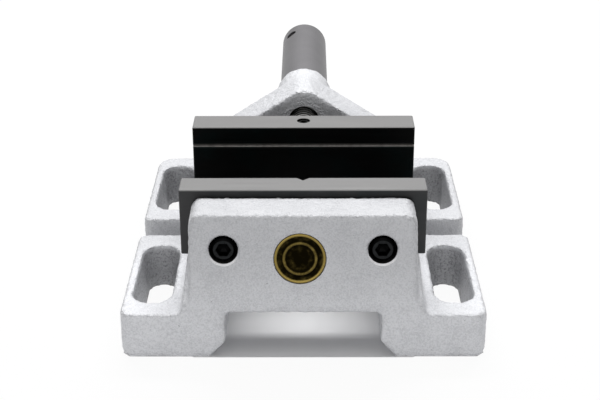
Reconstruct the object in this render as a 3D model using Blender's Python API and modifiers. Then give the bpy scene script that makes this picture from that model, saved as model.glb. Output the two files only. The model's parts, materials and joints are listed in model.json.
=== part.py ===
"""Drill press vise with a cast body, two steel jaws and a turning sleeve nut.

The body stands on four slotted ears and carries the fixed jaw in front and a gabled end
wall with a hub behind. The moving jaw slides on the two ways and is pulled by a spindle
that doesn't turn: the long sleeve is its nut. The sleeve turns in the hub and swallows
the spindle, so its end stays at one place as the jaw travels.
Sizes are in metres and +Z is up. The fixed jaw is at the front (-Y), the sleeve at +Y.
"""

import math

import bmesh
import bpy
from mathutils import Matrix, Quaternion, Vector

MM = 0.001
DEGREE = math.pi / 180

# Clearances and construction allowances
SEAT_GAP = 0.3 * MM
OVERRUN = 5.0 * MM
OVERLAP = 2.0 * MM
WELD_DISTANCE = 0.002 * MM
GRID = 0.0001 * MM
SMOOTH_ANGLE = 30 * DEGREE

# Body: ears, core and ways
BASE_WIDTH = 148.0 * MM
BASE_LENGTH = 163.0 * MM
EAR_HEIGHT = 19.3 * MM
EAR_FRONT_RADIUS = 6.0 * MM
EAR_REAR_RADIUS = 9.0 * MM
EAR_EDGE_RADIUS = 1.2 * MM
EAR_GAP = 14.8 * MM
EAR_GAP_DEPTH = 21.0 * MM
EAR_GAP_OUTER_RADIUS = 3.5 * MM
EAR_GAP_INNER_RADIUS = 3.0 * MM
EAR_ROOT_RADIUS = 2.6 * MM
EAR_WIDTH = 25.5 * MM
CORE_SIDE_DRAFT = 0.8 * MM
CORE_EDGE_RADIUS = 1.2 * MM
SHOULDER_HEIGHT = 24.2 * MM
SHOULDER_RUN = 22.4 * MM
WAY_HEIGHT = 34.3 * MM
WAY_THICKNESS = 10.3 * MM
WAY_LEDGE = 8.9 * MM
WAY_GAP_CORNER_RADIUS = 3.0 * MM
WAY_GAP_SETBACK = 1.0 * MM
CHANNEL_WIDTH = 61.8 * MM
CHANNEL_HEIGHT = 20.1 * MM
CHANNEL_CORNER_RADIUS = 1.2 * MM
FOOT_CHAMFER_WIDTH = 6.5 * MM
FOOT_CHAMFER_HEIGHT = 7.2 * MM

# Clamping slots in the ears, wider at the top
SLOT_WIDTH = 12.4 * MM
SLOT_LENGTH = 47.6 * MM
SLOT_DRAFT = 1.8 * MM
SLOT_SIDE_INSET = 12.0 * MM
SLOT_END_INSET = 36.9 * MM

# Fixed jaw of the casting
UPRIGHT_INSET = 2.6 * MM
UPRIGHT_SIDE_DRAFT = 1.0 * MM
UPRIGHT_HEIGHT = 60.7 * MM
UPRIGHT_THICKNESS = 23.6 * MM
UPRIGHT_LEAN = 5.6 * MM
UPRIGHT_LEAN_START = 23.6 * MM
UPRIGHT_SETBACK = 0.1 * MM
UPRIGHT_CORNER_RADIUS = 4.2 * MM
UPRIGHT_EDGE_RADIUS = 1.6 * MM

# Jaws
JAW_WIDTH = 100.0 * MM
JAW_HEIGHT = 28.7 * MM
FRONT_JAW_THICKNESS = 12.5 * MM
MOVING_JAW_THICKNESS = 14.8 * MM
JAW_EDGE_CHAMFER = 0.4 * MM
UPRIGHT_PRISM_WIDTH = 6.0 * MM
UPRIGHT_PRISM_DEPTH = 2.8 * MM
LEVEL_PRISM_WIDTH = 2.2 * MM
LEVEL_PRISM_DEPTH = 1.1 * MM
LEVEL_PRISM_DROP = 8.9 * MM

# Socket cap screws of the front jaw and of the keeper plate
SCREW_DIAMETER = 6.0 * MM
SCREW_HEAD_DIAMETER = 10.0 * MM
SCREW_HEAD_HEIGHT = 6.0 * MM
SCREW_HEAD_CHAMFER = 0.7 * MM
SCREW_SOCKET_FLATS = 5.0 * MM
SCREW_SOCKET_DEPTH = 3.2 * MM
SCREW_GRIP = 8.5 * MM
SCREW_TIP_ROOM = 0.7 * MM
COUNTERBORE_DIAMETER = 11.0 * MM
FRONT_SCREW_INSET = 14.6 * MM
FRONT_SCREW_DROP = 16.7 * MM
FRONT_SCREW_SEAT = 10.3 * MM

# Round badge plate on the fixed jaw
BADGE_DIAMETER = 20.4 * MM
BADGE_THICKNESS = 1.6 * MM
BADGE_RIM_WIDTH = 1.1 * MM
BADGE_FIELD_DEPTH = 0.5 * MM
BADGE_PROUD = 0.2 * MM
BADGE_CENTRE_HEIGHT = 43.2 * MM
BADGE_SIDE_SHIFT = 1.2 * MM

# Guide block between the ways, and the keeper plate under them
GUIDE_LENGTH = 26.0 * MM
GUIDE_SETBACK = 1.0 * MM
GUIDE_CORNER_RADIUS = 2.0 * MM
KEEPER_SIDE_CLEARANCE = 1.4 * MM
KEEPER_THICKNESS = 6.0 * MM
KEEPER_CORNER_RADIUS = 3.0 * MM
KEEPER_SCREW_INSET = 8.0 * MM
LOCK_WASHER_DIAMETER = 10.4 * MM
LOCK_WASHER_THICKNESS = 1.5 * MM
LOCK_WASHER_SPLIT = 1.2 * MM

# Spindle, which doesn't turn, and the screw that locks its nose in the moving jaw
SPINDLE_HEIGHT = 48.2 * MM
SPINDLE_DIAMETER = 12.0 * MM
NOSE_DIAMETER = 9.4 * MM
NOSE_DEPTH = 10.3 * MM
NOSE_CHAMFER = 0.8 * MM
NOSE_GROOVE_DEPTH = 1.2 * MM
SPINDLE_TIP_CHAMFER = 1.4 * MM
LOCK_SCREW_DIAMETER = 5.4 * MM
LOCK_SCREW_LENGTH = 9.4 * MM
LOCK_SCREW_POINT_DIAMETER = 3.4 * MM
LOCK_SCREW_SOCKET_FLATS = 3.0 * MM
LOCK_SCREW_SOCKET_DEPTH = 2.4 * MM
LOCK_SCREW_INSET = 6.5 * MM

# End wall and hub at the back of the body
END_WALL_THICKNESS = 24.0 * MM
END_WALL_PROUD = 0.3 * MM
END_WALL_PEAK_RISE = 3.5 * MM
END_WALL_CREST_RADIUS = 9.5 * MM
END_WALL_EDGE_RADIUS = 1.0 * MM
HUB_SETBACK = 3.0 * MM
HUB_LENGTH = 40.5 * MM
HUB_DIAMETER = 27.6 * MM
HUB_EDGE_RADIUS = 1.6 * MM
HUB_WALL = 4.0 * MM
HUB_MOUTH_DIAMETER = 14.8 * MM

# Turning sleeve nut, its thrust washer and the pins that hold it in the hub
SLEEVE_DIAMETER = 24.2 * MM
SLEEVE_END_CHAMFER = 0.8 * MM
SLEEVE_END_THICKNESS = 20.2 * MM
JOURNAL_DIAMETER = 19.0 * MM
JOURNAL_CHAMFER = 0.6 * MM
NUT_LENGTH = 22.0 * MM
NUT_GRIP = 20.0 * MM
RELIEF_DIAMETER = 13.8 * MM
DRILL_POINT_SHARE = 0.3
CROSS_HOLE_DIAMETER = 6.2 * MM
CROSS_HOLE_INSET = 11.5 * MM
CROSS_HOLE_TILT = 38.0 * DEGREE
WASHER_THICKNESS = 1.5 * MM
WASHER_BORE = 14.8 * MM
PIN_DIAMETER = 4.0 * MM
PIN_LENGTH = 13.0 * MM
PIN_RECESS = 3.0 * MM
PIN_CHAMFER = 0.5 * MM
PIN_BITE = 1.6 * MM
PIN_INSET = 6.0 * MM
PIN_TIP_ROOM = 0.6 * MM
TRAVEL_STOP_GAP = 0.5 * MM
OPENING_TRAVEL = 18.1 * MM

# Facets: sides of the round pieces and steps of the rounded edges
FINE_SIDES = 64
ROUND_SIDES = 48
SMALL_SIDES = 24
CORNER_STEPS = 6
EDGE_STEPS = 2
UPRIGHT_EDGE_STEPS = 3
SLOT_END_STEPS = 12
HEX_SIDES = 6

# Widths that follow from the body's
CORE_WIDTH = BASE_WIDTH - 2 * EAR_WIDTH
UPRIGHT_WIDTH = CORE_WIDTH - 2 * UPRIGHT_INSET
END_WALL_WIDTH = CORE_WIDTH + 2 * END_WALL_PROUD
WAY_GAP_WIDTH = CHANNEL_WIDTH - 2 * WAY_LEDGE
KEEPER_WIDTH = CHANNEL_WIDTH - 2 * KEEPER_SIDE_CLEARANCE
KEEPER_SCREW_SPACING = WAY_GAP_WIDTH - 2 * KEEPER_SCREW_INSET
SLOT_SPACING_ACROSS = BASE_WIDTH - 2 * SLOT_SIDE_INSET
SLOT_SPACING_ALONG = BASE_LENGTH - 2 * SLOT_END_INSET
FRONT_SCREW_SPACING = UPRIGHT_WIDTH - 2 * FRONT_SCREW_INSET
PIN_OFFSET = JOURNAL_DIAMETER / 2 + PIN_DIAMETER / 2 - PIN_BITE

# Stations along the vise, measured from the body's front face
END_WALL_FRONT = BASE_LENGTH - END_WALL_THICKNESS
FRONT_JAW_FRONT = UPRIGHT_THICKNESS + SEAT_GAP
FRONT_JAW_REAR = FRONT_JAW_FRONT + FRONT_JAW_THICKNESS
WAY_GAP_FRONT = FRONT_JAW_REAR
WAY_GAP_REAR = END_WALL_FRONT - WAY_GAP_SETBACK
GUIDE_REAR = WAY_GAP_REAR - TRAVEL_STOP_GAP - OPENING_TRAVEL
GUIDE_FRONT = GUIDE_REAR - GUIDE_LENGTH
MOVING_JAW_FRONT = GUIDE_FRONT - GUIDE_SETBACK
MOVING_JAW_REAR = MOVING_JAW_FRONT + MOVING_JAW_THICKNESS
JAW_OPENING = MOVING_JAW_FRONT - FRONT_JAW_REAR
HUB_REAR = END_WALL_FRONT + HUB_LENGTH
SLEEVE_SEAT = END_WALL_FRONT + HUB_WALL
WASHER_FRONT = SLEEVE_SEAT + SEAT_GAP
SLEEVE_FRONT = WASHER_FRONT + WASHER_THICKNESS + SEAT_GAP
SLEEVE_SHOULDER = HUB_REAR + SEAT_GAP
CLOSING_TRAVEL = JAW_OPENING - SEAT_GAP
SPINDLE_FRONT = MOVING_JAW_REAR - NOSE_DEPTH + SEAT_GAP
SPINDLE_SHOULDER = MOVING_JAW_REAR + SEAT_GAP
SPINDLE_REAR = SLEEVE_FRONT + NUT_GRIP + CLOSING_TRAVEL
SLEEVE_BORE_REAR = SPINDLE_REAR + OPENING_TRAVEL + TRAVEL_STOP_GAP
SLEEVE_REAR = SLEEVE_BORE_REAR + SLEEVE_END_THICKNESS
KEEPER_SCREW_STATION = MOVING_JAW_FRONT + MOVING_JAW_THICKNESS / 2
LOCK_SCREW_STATION = MOVING_JAW_REAR - LOCK_SCREW_INSET
PIN_STATION = HUB_REAR - PIN_INSET

# Heights above the table
JAW_BOTTOM = WAY_HEIGHT + SEAT_GAP
JAW_TOP = JAW_BOTTOM + JAW_HEIGHT
FRONT_SCREW_HEIGHT = JAW_TOP - FRONT_SCREW_DROP
WAY_UNDERSIDE = WAY_HEIGHT - WAY_THICKNESS
KEEPER_TOP = WAY_UNDERSIDE - SEAT_GAP
KEEPER_BOTTOM = KEEPER_TOP - KEEPER_THICKNESS
LOCK_WASHER_TOP = KEEPER_BOTTOM - SEAT_GAP
KEEPER_SCREW_SEAT = LOCK_WASHER_TOP - LOCK_WASHER_THICKNESS - SEAT_GAP
PIN_BOTTOM = SPINDLE_HEIGHT - math.sqrt((HUB_DIAMETER / 2) ** 2 - PIN_OFFSET**2) + PIN_RECESS
UPRIGHT_LEAN_ANGLE = math.atan2(
    UPRIGHT_LEAN - UPRIGHT_SETBACK, UPRIGHT_HEIGHT - UPRIGHT_LEAN_START
)


def collection(name):
    """A new collection in the scene."""
    made = bpy.data.collections.new(name)
    bpy.context.scene.collection.children.link(made)
    return made


def material(name, colour, roughness, metallic):
    """A Principled finish."""
    made = bpy.data.materials.new(name)
    made.use_nodes = True
    shader = made.node_tree.nodes["Principled BSDF"]
    shader.inputs["Base Color"].default_value = (*colour, 1.0)
    shader.inputs["Roughness"].default_value = roughness
    shader.inputs["Metallic"].default_value = metallic
    made.diffuse_color = (*colour, 1.0)
    return made


for leftover in list(bpy.data.objects):
    bpy.data.objects.remove(leftover, do_unlink=True)

PARTS = collection("drill_press_vise")
CONSTRUCTION = collection("construction")

SILVER_PAINT = material("silver_paint", (0.60, 0.61, 0.63), 0.45, 0.30)
BLACKENED_STEEL = material("blackened_steel", (0.030, 0.032, 0.034), 0.40, 0.60)
BLACK_SCREW_STEEL = material("black_screw_steel", (0.015, 0.016, 0.018), 0.35, 0.50)
GREY_STEEL = material("grey_steel", (0.33, 0.33, 0.34), 0.42, 0.80)
BRIGHT_STEEL = material("bright_steel", (0.50, 0.50, 0.51), 0.30, 1.00)
BRASS = material("brass", (0.62, 0.46, 0.16), 0.35, 1.00)
BRONZE = material("bronze", (0.48, 0.33, 0.18), 0.40, 1.00)


def empty(name, location, parent=None):
    """An empty that carries pieces, at a place measured from its parent."""
    made = bpy.data.objects.new(name, None)
    made.location = location
    made.parent = parent
    PARTS.objects.link(made)
    return made


DATUM = empty("body_front_datum", (0, -SLEEVE_REAR / 2, 0))
JAW_AXIS = empty("jaw_travel_axis", (0, MOVING_JAW_REAR, SPINDLE_HEIGHT), DATUM)
SLEEVE_AXIS = empty("sleeve_turning_axis", (0, SLEEVE_FRONT, SPINDLE_HEIGHT), DATUM)


def place(item, finish, carrier):
    """Files an object as a part, or as a hidden cutter where it has no finish.

    Its location is given from the body's front datum, and kept when an axis carries it.
    """
    if finish is None:
        CONSTRUCTION.objects.link(item)
        item.hide_render = True
        item.display_type = "WIRE"
    else:
        PARTS.objects.link(item)
        item.data.materials.append(finish)
    item.parent = carrier
    if carrier is not DATUM:
        item.location -= carrier.location
    return item


def from_bmesh(name, shape, finish, carrier=None, location=(0, 0, 0), turn=None):
    """An object from a finished bmesh, smooth across its round faces.

    Its corners are rounded to a fine grid, so that faces in one plane stay in it.
    """
    for vertex in shape.verts:
        vertex.co = [round(value / GRID) * GRID for value in vertex.co]
    bmesh.ops.recalc_face_normals(shape, faces=shape.faces)
    mesh = bpy.data.meshes.new(name)
    shape.to_mesh(mesh)
    shape.free()
    mesh.shade_smooth()
    mesh.set_sharp_from_angle(angle=SMOOTH_ANGLE)
    made = bpy.data.objects.new(name, mesh)
    made.location = location
    if turn is not None:
        made.rotation_mode = "QUATERNION"
        made.rotation_quaternion = turn
    return place(made, finish, carrier or DATUM)


def filleted(corners, steps=CORNER_STEPS):
    """An outline from (u, v, radius) corners, each rounded by an arc of its radius."""
    outline = []
    count = len(corners)
    for index, (u, v, radius) in enumerate(corners):
        if radius == 0:
            outline.append((u, v))
            continue
        here = Vector((u, v))
        before = (Vector(corners[index - 1][:2]) - here).normalized()
        after = (Vector(corners[(index + 1) % count][:2]) - here).normalized()
        half_angle = before.angle(after) / 2
        centre = here + (before + after).normalized() * radius / math.sin(half_angle)
        setback = radius / math.tan(half_angle)
        start = here + before * setback - centre
        finish = here + after * setback - centre
        sweep = math.atan2(start.cross(finish), start.dot(finish))
        for step in range(steps + 1):
            turn = sweep * step / steps
            outline.append(
                (
                    centre.x + start.x * math.cos(turn) - start.y * math.sin(turn),
                    centre.y + start.x * math.sin(turn) + start.y * math.cos(turn),
                )
            )
    return outline


def box_outline(low_u, low_v, high_u, high_v, radius=0):
    """A rectangle's outline, with rounded corners where it has a radius."""
    corners = [(low_u, low_v), (high_u, low_v), (high_u, high_v), (low_u, high_v)]
    return filleted([(u, v, radius) for u, v in corners])


def prism_shape(outline, low, high, along):
    """A bmesh prism: an outline filled at low and drawn out to high along an axis.

    The outline is (y, z) along X, (x, z) along Y and (x, y) along Z.
    """
    axis = "XYZ".index(along)
    shape = bmesh.new()
    corners = []
    for point in outline:
        corner = list(point)
        corner.insert(axis, low)
        corners.append(shape.verts.new(corner))
    shape.faces.new(corners)
    drawn = bmesh.ops.extrude_face_region(shape, geom=shape.faces[:])
    travel = Vector((0, 0, 0))
    travel[axis] = high - low
    ends = [item for item in drawn["geom"] if isinstance(item, bmesh.types.BMVert)]
    bmesh.ops.translate(shape, verts=ends, vec=travel)
    bmesh.ops.recalc_face_normals(shape, faces=shape.faces)
    return shape


def prism(name, outline, low, high, along, finish=None, carrier=None):
    """A prism as an object."""
    return from_bmesh(name, prism_shape(outline, low, high, along), finish, carrier)


def round_edges(shape, picked, radius, steps):
    """Rounds the edges of a bmesh that a test of their two ends picks."""
    edges = [edge for edge in shape.edges if picked(*(end.co for end in edge.verts))]
    bmesh.ops.bevel(
        shape,
        geom=edges,
        offset=radius,
        segments=steps,
        profile=0.5,
        affect="EDGES",
        clamp_overlap=True,
    )


def trim(shape, point, outward):
    """Cuts off what lies beyond a plane through a point, and closes the cut with a face."""
    cut_off = bmesh.ops.bisect_plane(
        shape,
        geom=shape.verts[:] + shape.edges[:] + shape.faces[:],
        dist=WELD_DISTANCE,
        plane_co=point,
        plane_no=outward,
        clear_outer=True,
    )
    rim = [item for item in cut_off["geom_cut"] if isinstance(item, bmesh.types.BMEdge)]
    bmesh.ops.contextual_create(shape, geom=rim)


def loft(name, lower, upper, finish=None, carrier=None):
    """A solid between two rings of as many 3D points."""
    shape = bmesh.new()
    rings = [[shape.verts.new(point) for point in ring] for ring in (lower, upper)]
    for ring in rings:
        shape.faces.new(ring)
    for index in range(len(lower)):
        near, far = rings
        shape.faces.new((near[index - 1], near[index], far[index], far[index - 1]))
    return from_bmesh(name, shape, finish, carrier)


def turned(name, profile, sides, axis, start, finish=None, carrier=None):
    """A turned piece: a (radius, station) profile revolved about an axis from a start point.

    The profile runs down its outer side, from the far station to the near one. A piece with
    a hole through it has a closed profile, and any other starts and ends on its axis.
    """
    mesh = bpy.data.meshes.new(name)
    edges = [(index, index + 1) for index in range(len(profile) - 1)]
    if profile[0][0] > 0:
        edges.append((len(profile) - 1, 0))
    mesh.from_pydata([(radius, 0, station) for radius, station in profile], edges, [])
    made = bpy.data.objects.new(name, mesh)
    made.location = start
    made.rotation_mode = "QUATERNION"
    made.rotation_quaternion = Vector((0, 0, 1)).rotation_difference(Vector(axis))
    screw = made.modifiers.new("revolve", "SCREW")
    screw.axis = "Z"
    screw.steps = sides
    screw.render_steps = sides
    screw.use_merge_vertices = True
    screw.merge_threshold = WELD_DISTANCE
    return place(made, finish, carrier or DATUM)


def rod(name, diameter, length, axis, start, sides=SMALL_SIDES):
    """A plain cylinder used as a cutter, turned half a facet from the pieces that it cuts."""
    shape = bmesh.new()
    bmesh.ops.create_cone(
        shape,
        cap_ends=True,
        segments=sides,
        radius1=diameter / 2,
        radius2=diameter / 2,
        depth=length,
    )
    half_facet = Matrix.Rotation(math.pi / sides, 4, "Z")
    bmesh.ops.transform(shape, matrix=half_facet, verts=shape.verts)
    direction = Vector(axis)
    middle = Vector(start) + direction * length / 2
    turn = Vector((0, 0, 1)).rotation_difference(direction)
    return from_bmesh(name, shape, None, None, middle, turn)


def hexagon(name, flats, depth, axis, mouth):
    """A hexagonal socket cutter that goes depth deep from its mouth, against the axis."""
    across_corners = flats / math.cos(math.pi / HEX_SIDES)
    bottom = Vector(mouth) - Vector(axis) * depth
    return rod(name, across_corners, depth + OVERRUN, axis, bottom, HEX_SIDES)


def combine(target, operation, *others):
    """Adds Boolean steps to a part."""
    for other in others:
        step = target.modifiers.new(f"{operation.lower()}_{other.name}", "BOOLEAN")
        step.operation = operation
        step.solver = "EXACT"
        step.object = other


def join(target, *others):
    """Adds other solids to a part."""
    combine(target, "UNION", *others)


def cut(target, *others):
    """Cuts other solids out of a part."""
    combine(target, "DIFFERENCE", *others)


def both_sides():
    """The two sides of the vise, each with its name and its sign along X."""
    return (("left", -1), ("right", 1))


def upright_face_station(height):
    """How far the leaning front face of the fixed jaw lies behind the body's front."""
    return UPRIGHT_SETBACK + (height - UPRIGHT_LEAN_START) * math.tan(UPRIGHT_LEAN_ANGLE)


def ear_plate():
    """The four ears and the foot of the core: one plate with a gap in each side."""
    half_width = BASE_WIDTH / 2
    gap_wall = half_width - EAR_GAP_DEPTH
    gap_front = (BASE_LENGTH - EAR_GAP) / 2
    gap_rear = (BASE_LENGTH + EAR_GAP) / 2
    right = [
        (half_width, 0, EAR_FRONT_RADIUS),
        (half_width, gap_front, EAR_GAP_OUTER_RADIUS),
        (gap_wall, gap_front, EAR_GAP_INNER_RADIUS),
        (gap_wall, gap_rear, EAR_GAP_INNER_RADIUS),
        (half_width, gap_rear, EAR_GAP_OUTER_RADIUS),
        (half_width, BASE_LENGTH, EAR_REAR_RADIUS),
    ]
    left = [(-x, y, radius) for x, y, radius in reversed(right)]
    shape = prism_shape(filleted(right + left), 0, EAR_HEIGHT, "Z")

    def on_top(first, second):
        return min(first.z, second.z) > EAR_HEIGHT - WELD_DISTANCE

    round_edges(shape, on_top, EAR_EDGE_RADIUS, EDGE_STEPS)
    return from_bmesh("base_casting", shape, SILVER_PAINT)


def core_outline():
    """Half of the core's section: a hollow fillet at the ears, a drafted side and the way."""
    corner = CORE_WIDTH / 2
    reach = corner + EAR_ROOT_RADIUS
    outline = [(reach, EAR_HEIGHT - EAR_EDGE_RADIUS - OVERLAP)]
    for step in range(CORNER_STEPS + 1):
        turn = math.pi / 2 * step / CORNER_STEPS
        outline.append(
            (
                reach - EAR_ROOT_RADIUS * math.sin(turn),
                EAR_HEIGHT + EAR_ROOT_RADIUS * (1 - math.cos(turn)),
            )
        )
    outline.append((corner - CORE_SIDE_DRAFT, WAY_HEIGHT))
    return outline


def core_block():
    """The raised middle of the body, whose top becomes the ways, with sloped front shoulders."""
    half = core_outline()
    outline = half + [(-x, z) for x, z in reversed(half)]
    shape = prism_shape(outline, 0, BASE_LENGTH - OVERLAP, "Y")

    def outer_top_edge(first, second):
        level = min(first.z, second.z) > WAY_HEIGHT - WELD_DISTANCE
        return level and abs(first.x - second.x) < WELD_DISTANCE

    round_edges(shape, outer_top_edge, CORE_EDGE_RADIUS, EDGE_STEPS)
    block = from_bmesh("core_block", shape, None)
    slope = (WAY_HEIGHT - SHOULDER_HEIGHT) / SHOULDER_RUN
    wedge = [
        (-OVERRUN, SHOULDER_HEIGHT - OVERRUN * slope),
        (SHOULDER_RUN + OVERRUN, WAY_HEIGHT + OVERRUN * slope),
        (-OVERRUN, WAY_HEIGHT + OVERRUN * slope),
    ]
    half_cut = CORE_WIDTH / 2 + OVERRUN
    cut(block, prism("shoulder_slope", wedge, -half_cut, half_cut, "X"))
    return block


def upright_block():
    """The fixed jaw of the casting: it leans back in front and narrows upwards."""
    foot = WAY_UNDERSIDE - OVERLAP
    half_foot = UPRIGHT_WIDTH / 2
    half_top = half_foot - UPRIGHT_SIDE_DRAFT
    corners = [
        (-half_foot, foot, 0),
        (half_foot, foot, 0),
        (half_foot, UPRIGHT_LEAN_START, 0),
        (half_top, UPRIGHT_HEIGHT, UPRIGHT_CORNER_RADIUS),
        (-half_top, UPRIGHT_HEIGHT, UPRIGHT_CORNER_RADIUS),
        (-half_foot, UPRIGHT_LEAN_START, 0),
    ]
    shape = prism_shape(filleted(corners), -OVERRUN, UPRIGHT_THICKNESS, "Y")
    crease = (0, UPRIGHT_SETBACK, UPRIGHT_LEAN_START)
    setback = math.atan2(OVERLAP - UPRIGHT_SETBACK, UPRIGHT_LEAN_START - foot)
    trim(shape, crease, (0, -math.cos(UPRIGHT_LEAN_ANGLE), math.sin(UPRIGHT_LEAN_ANGLE)))
    trim(shape, crease, (0, -math.cos(setback), -math.sin(setback)))

    def front_edge(first, second):
        in_front = all(
            abs(end.y - upright_face_station(end.z)) < WELD_DISTANCE for end in (first, second)
        )
        return in_front and max(first.z, second.z) > UPRIGHT_LEAN_START + WELD_DISTANCE

    round_edges(shape, front_edge, UPRIGHT_EDGE_RADIUS, UPRIGHT_EDGE_STEPS)
    return from_bmesh("fixed_jaw_upright", shape, None)


def end_wall():
    """The gabled wall across the back of the body, as wide as the core at its foot."""
    half_width = END_WALL_WIDTH / 2
    foot = EAR_HEIGHT - EAR_EDGE_RADIUS - OVERLAP
    apex = SPINDLE_HEIGHT + HUB_DIAMETER / 2 + END_WALL_PEAK_RISE
    corners = [
        (-half_width, foot, 0),
        (half_width, foot, 0),
        (half_width, WAY_HEIGHT, 0),
        (0, apex, END_WALL_CREST_RADIUS),
        (-half_width, WAY_HEIGHT, 0),
    ]
    rear = BASE_LENGTH + END_WALL_PROUD
    shape = prism_shape(filleted(corners), END_WALL_FRONT, rear, "Y")

    def gable_edge(first, second):
        above = min(first.z, second.z) > WAY_HEIGHT - WELD_DISTANCE
        return above and abs(first.y - second.y) < WELD_DISTANCE

    round_edges(shape, gable_edge, END_WALL_EDGE_RADIUS, EDGE_STEPS)
    return from_bmesh("gabled_end_wall", shape, None)


def rounded_rim(radius, near, far, rim):
    """The outer side of a turned profile from far to near, with both rims rounded."""
    points = []
    for step in range(EDGE_STEPS + 1):
        turn = math.pi / 2 * step / EDGE_STEPS
        points.append(
            (radius - rim + rim * math.sin(turn), far - rim + rim * math.cos(turn))
        )
    for step in range(EDGE_STEPS + 1):
        turn = math.pi / 2 * step / EDGE_STEPS
        points.append(
            (radius - rim + rim * math.cos(turn), near + rim - rim * math.sin(turn))
        )
    return points


def hub_drum():
    """The hub, from just behind the front of the end wall out behind it."""
    length = HUB_LENGTH - HUB_SETBACK
    rim = rounded_rim(HUB_DIAMETER / 2, 0, length, HUB_EDGE_RADIUS)
    profile = [(0, length), *rim, (0, 0)]
    start = (0, END_WALL_FRONT + HUB_SETBACK, SPINDLE_HEIGHT)
    return turned("hub_drum", profile, FINE_SIDES, (0, 1, 0), start)


def under_channel():
    """The channel between the feet, low at both ends and higher under the ways."""
    half_width = CHANNEL_WIDTH / 2
    slope = FOOT_CHAMFER_WIDTH / FOOT_CHAMFER_HEIGHT
    flare = half_width + FOOT_CHAMFER_WIDTH + OVERRUN * slope
    corners = [
        (-flare, -OVERRUN, 0),
        (flare, -OVERRUN, 0),
        (half_width, FOOT_CHAMFER_HEIGHT, 0),
        (half_width, CHANNEL_HEIGHT, CHANNEL_CORNER_RADIUS),
        (-half_width, CHANNEL_HEIGHT, CHANNEL_CORNER_RADIUS),
        (-half_width, FOOT_CHAMFER_HEIGHT, 0),
    ]
    low = prism("under_channel", filleted(corners), -OVERRUN, BASE_LENGTH + OVERRUN, "Y")
    raised = box_outline(-half_width, FOOT_CHAMFER_HEIGHT, half_width, WAY_UNDERSIDE)
    high = prism("keeper_channel", raised, WAY_GAP_FRONT, WAY_GAP_REAR, "Y")
    half_gap = WAY_GAP_WIDTH / 2
    between = box_outline(
        -half_gap, WAY_GAP_FRONT, half_gap, WAY_GAP_REAR, WAY_GAP_CORNER_RADIUS
    )
    gap = prism("way_gap", between, FOOT_CHAMFER_HEIGHT, WAY_HEIGHT + OVERRUN, "Z")
    return low, high, gap


def slot_ring(centre, width, height):
    """The points of a slot's outline at one height: two half rounds joined by straights."""
    radius = width / 2
    half_run = (SLOT_LENGTH - SLOT_WIDTH) / 2
    ring = []
    for end in (1, -1):
        for step in range(SLOT_END_STEPS + 1):
            turn = math.pi * step / SLOT_END_STEPS
            ring.append(
                (
                    centre[0] + end * radius * math.cos(turn),
                    centre[1] + end * (half_run + radius * math.sin(turn)),
                    height,
                )
            )
    return ring


def ear_slots():
    """The four tapered clamping slots, one in each ear."""
    spread = 2 * SLOT_DRAFT * OVERRUN / EAR_HEIGHT
    slots = []
    for side, sign in both_sides():
        for end, lengthwise in (("front", -1), ("rear", 1)):
            centre = (
                sign * SLOT_SPACING_ACROSS / 2,
                BASE_LENGTH / 2 + lengthwise * SLOT_SPACING_ALONG / 2,
            )
            lower = slot_ring(centre, SLOT_WIDTH - spread, -OVERRUN)
            upper_width = SLOT_WIDTH + 2 * SLOT_DRAFT + spread
            upper = slot_ring(centre, upper_width, EAR_HEIGHT + OVERRUN)
            slots.append(loft(f"ear_slot_{end}_{side}", lower, upper))
    return slots


def stepped_bore(name, near, far, step, length, start, sides):
    """A turned cutter along the vise with one diameter before its step and one beyond it.

    It is turned half a facet from the pieces that it cuts.
    """
    profile = [
        (0, length),
        (far / 2, length),
        (far / 2, step),
        (near / 2, step),
        (near / 2, 0),
        (0, 0),
    ]
    made = turned(name, profile, sides, (0, 1, 0), start)
    made.rotation_quaternion @= Quaternion((0, 0, 1), math.pi / sides)
    return made


def front_screw_bores():
    """A counterbored through hole for each front jaw screw."""
    hole = SCREW_DIAMETER + 2 * SEAT_GAP
    through = UPRIGHT_THICKNESS + 2 * OVERRUN
    seat = FRONT_SCREW_SEAT + OVERRUN
    head = COUNTERBORE_DIAMETER
    bores = []
    for side, sign in both_sides():
        start = (sign * FRONT_SCREW_SPACING / 2, -OVERRUN, FRONT_SCREW_HEIGHT)
        name = f"front_screw_bore_{side}"
        bores.append(stepped_bore(name, head, hole, seat, through, start, ROUND_SIDES))
    return bores


def hub_bores():
    """The spindle's mouth and the sleeve's bearing in the hub, and the two pin holes."""
    start = (0, END_WALL_FRONT - OVERRUN, SPINDLE_HEIGHT)
    bearing = JOURNAL_DIAMETER + 2 * SEAT_GAP
    step = SLEEVE_SEAT - END_WALL_FRONT + OVERRUN
    length = HUB_LENGTH + 2 * OVERRUN
    mouth = HUB_MOUTH_DIAMETER
    bores = [stepped_bore("hub_bore", mouth, bearing, step, length, start, FINE_SIDES)]
    diameter = PIN_DIAMETER + 2 * SEAT_GAP
    length = OVERRUN + PIN_LENGTH + PIN_TIP_ROOM
    for side, sign in both_sides():
        start = (sign * PIN_OFFSET, PIN_STATION, PIN_BOTTOM - OVERRUN)
        bores.append(rod(f"pin_hole_{side}", diameter, length, (0, 0, 1), start))
    return bores


def badge_axis():
    """The square-out direction of the leaning front face."""
    return Vector((0, -math.cos(UPRIGHT_LEAN_ANGLE), math.sin(UPRIGHT_LEAN_ANGLE)))


def badge_seat(depth):
    """The point on the badge's axis this deep behind the leaning front face."""
    station = upright_face_station(BADGE_CENTRE_HEIGHT)
    on_face = Vector((-BADGE_SIDE_SHIFT, station, BADGE_CENTRE_HEIGHT))
    return on_face - badge_axis() * depth


def badge_recess():
    """The shallow round recess that the badge lies in."""
    floor = badge_seat(BADGE_THICKNESS - BADGE_PROUD + SEAT_GAP)
    diameter = BADGE_DIAMETER + 2 * SEAT_GAP
    return rod("badge_recess", diameter, OVERRUN, badge_axis(), floor, ROUND_SIDES)


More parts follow.
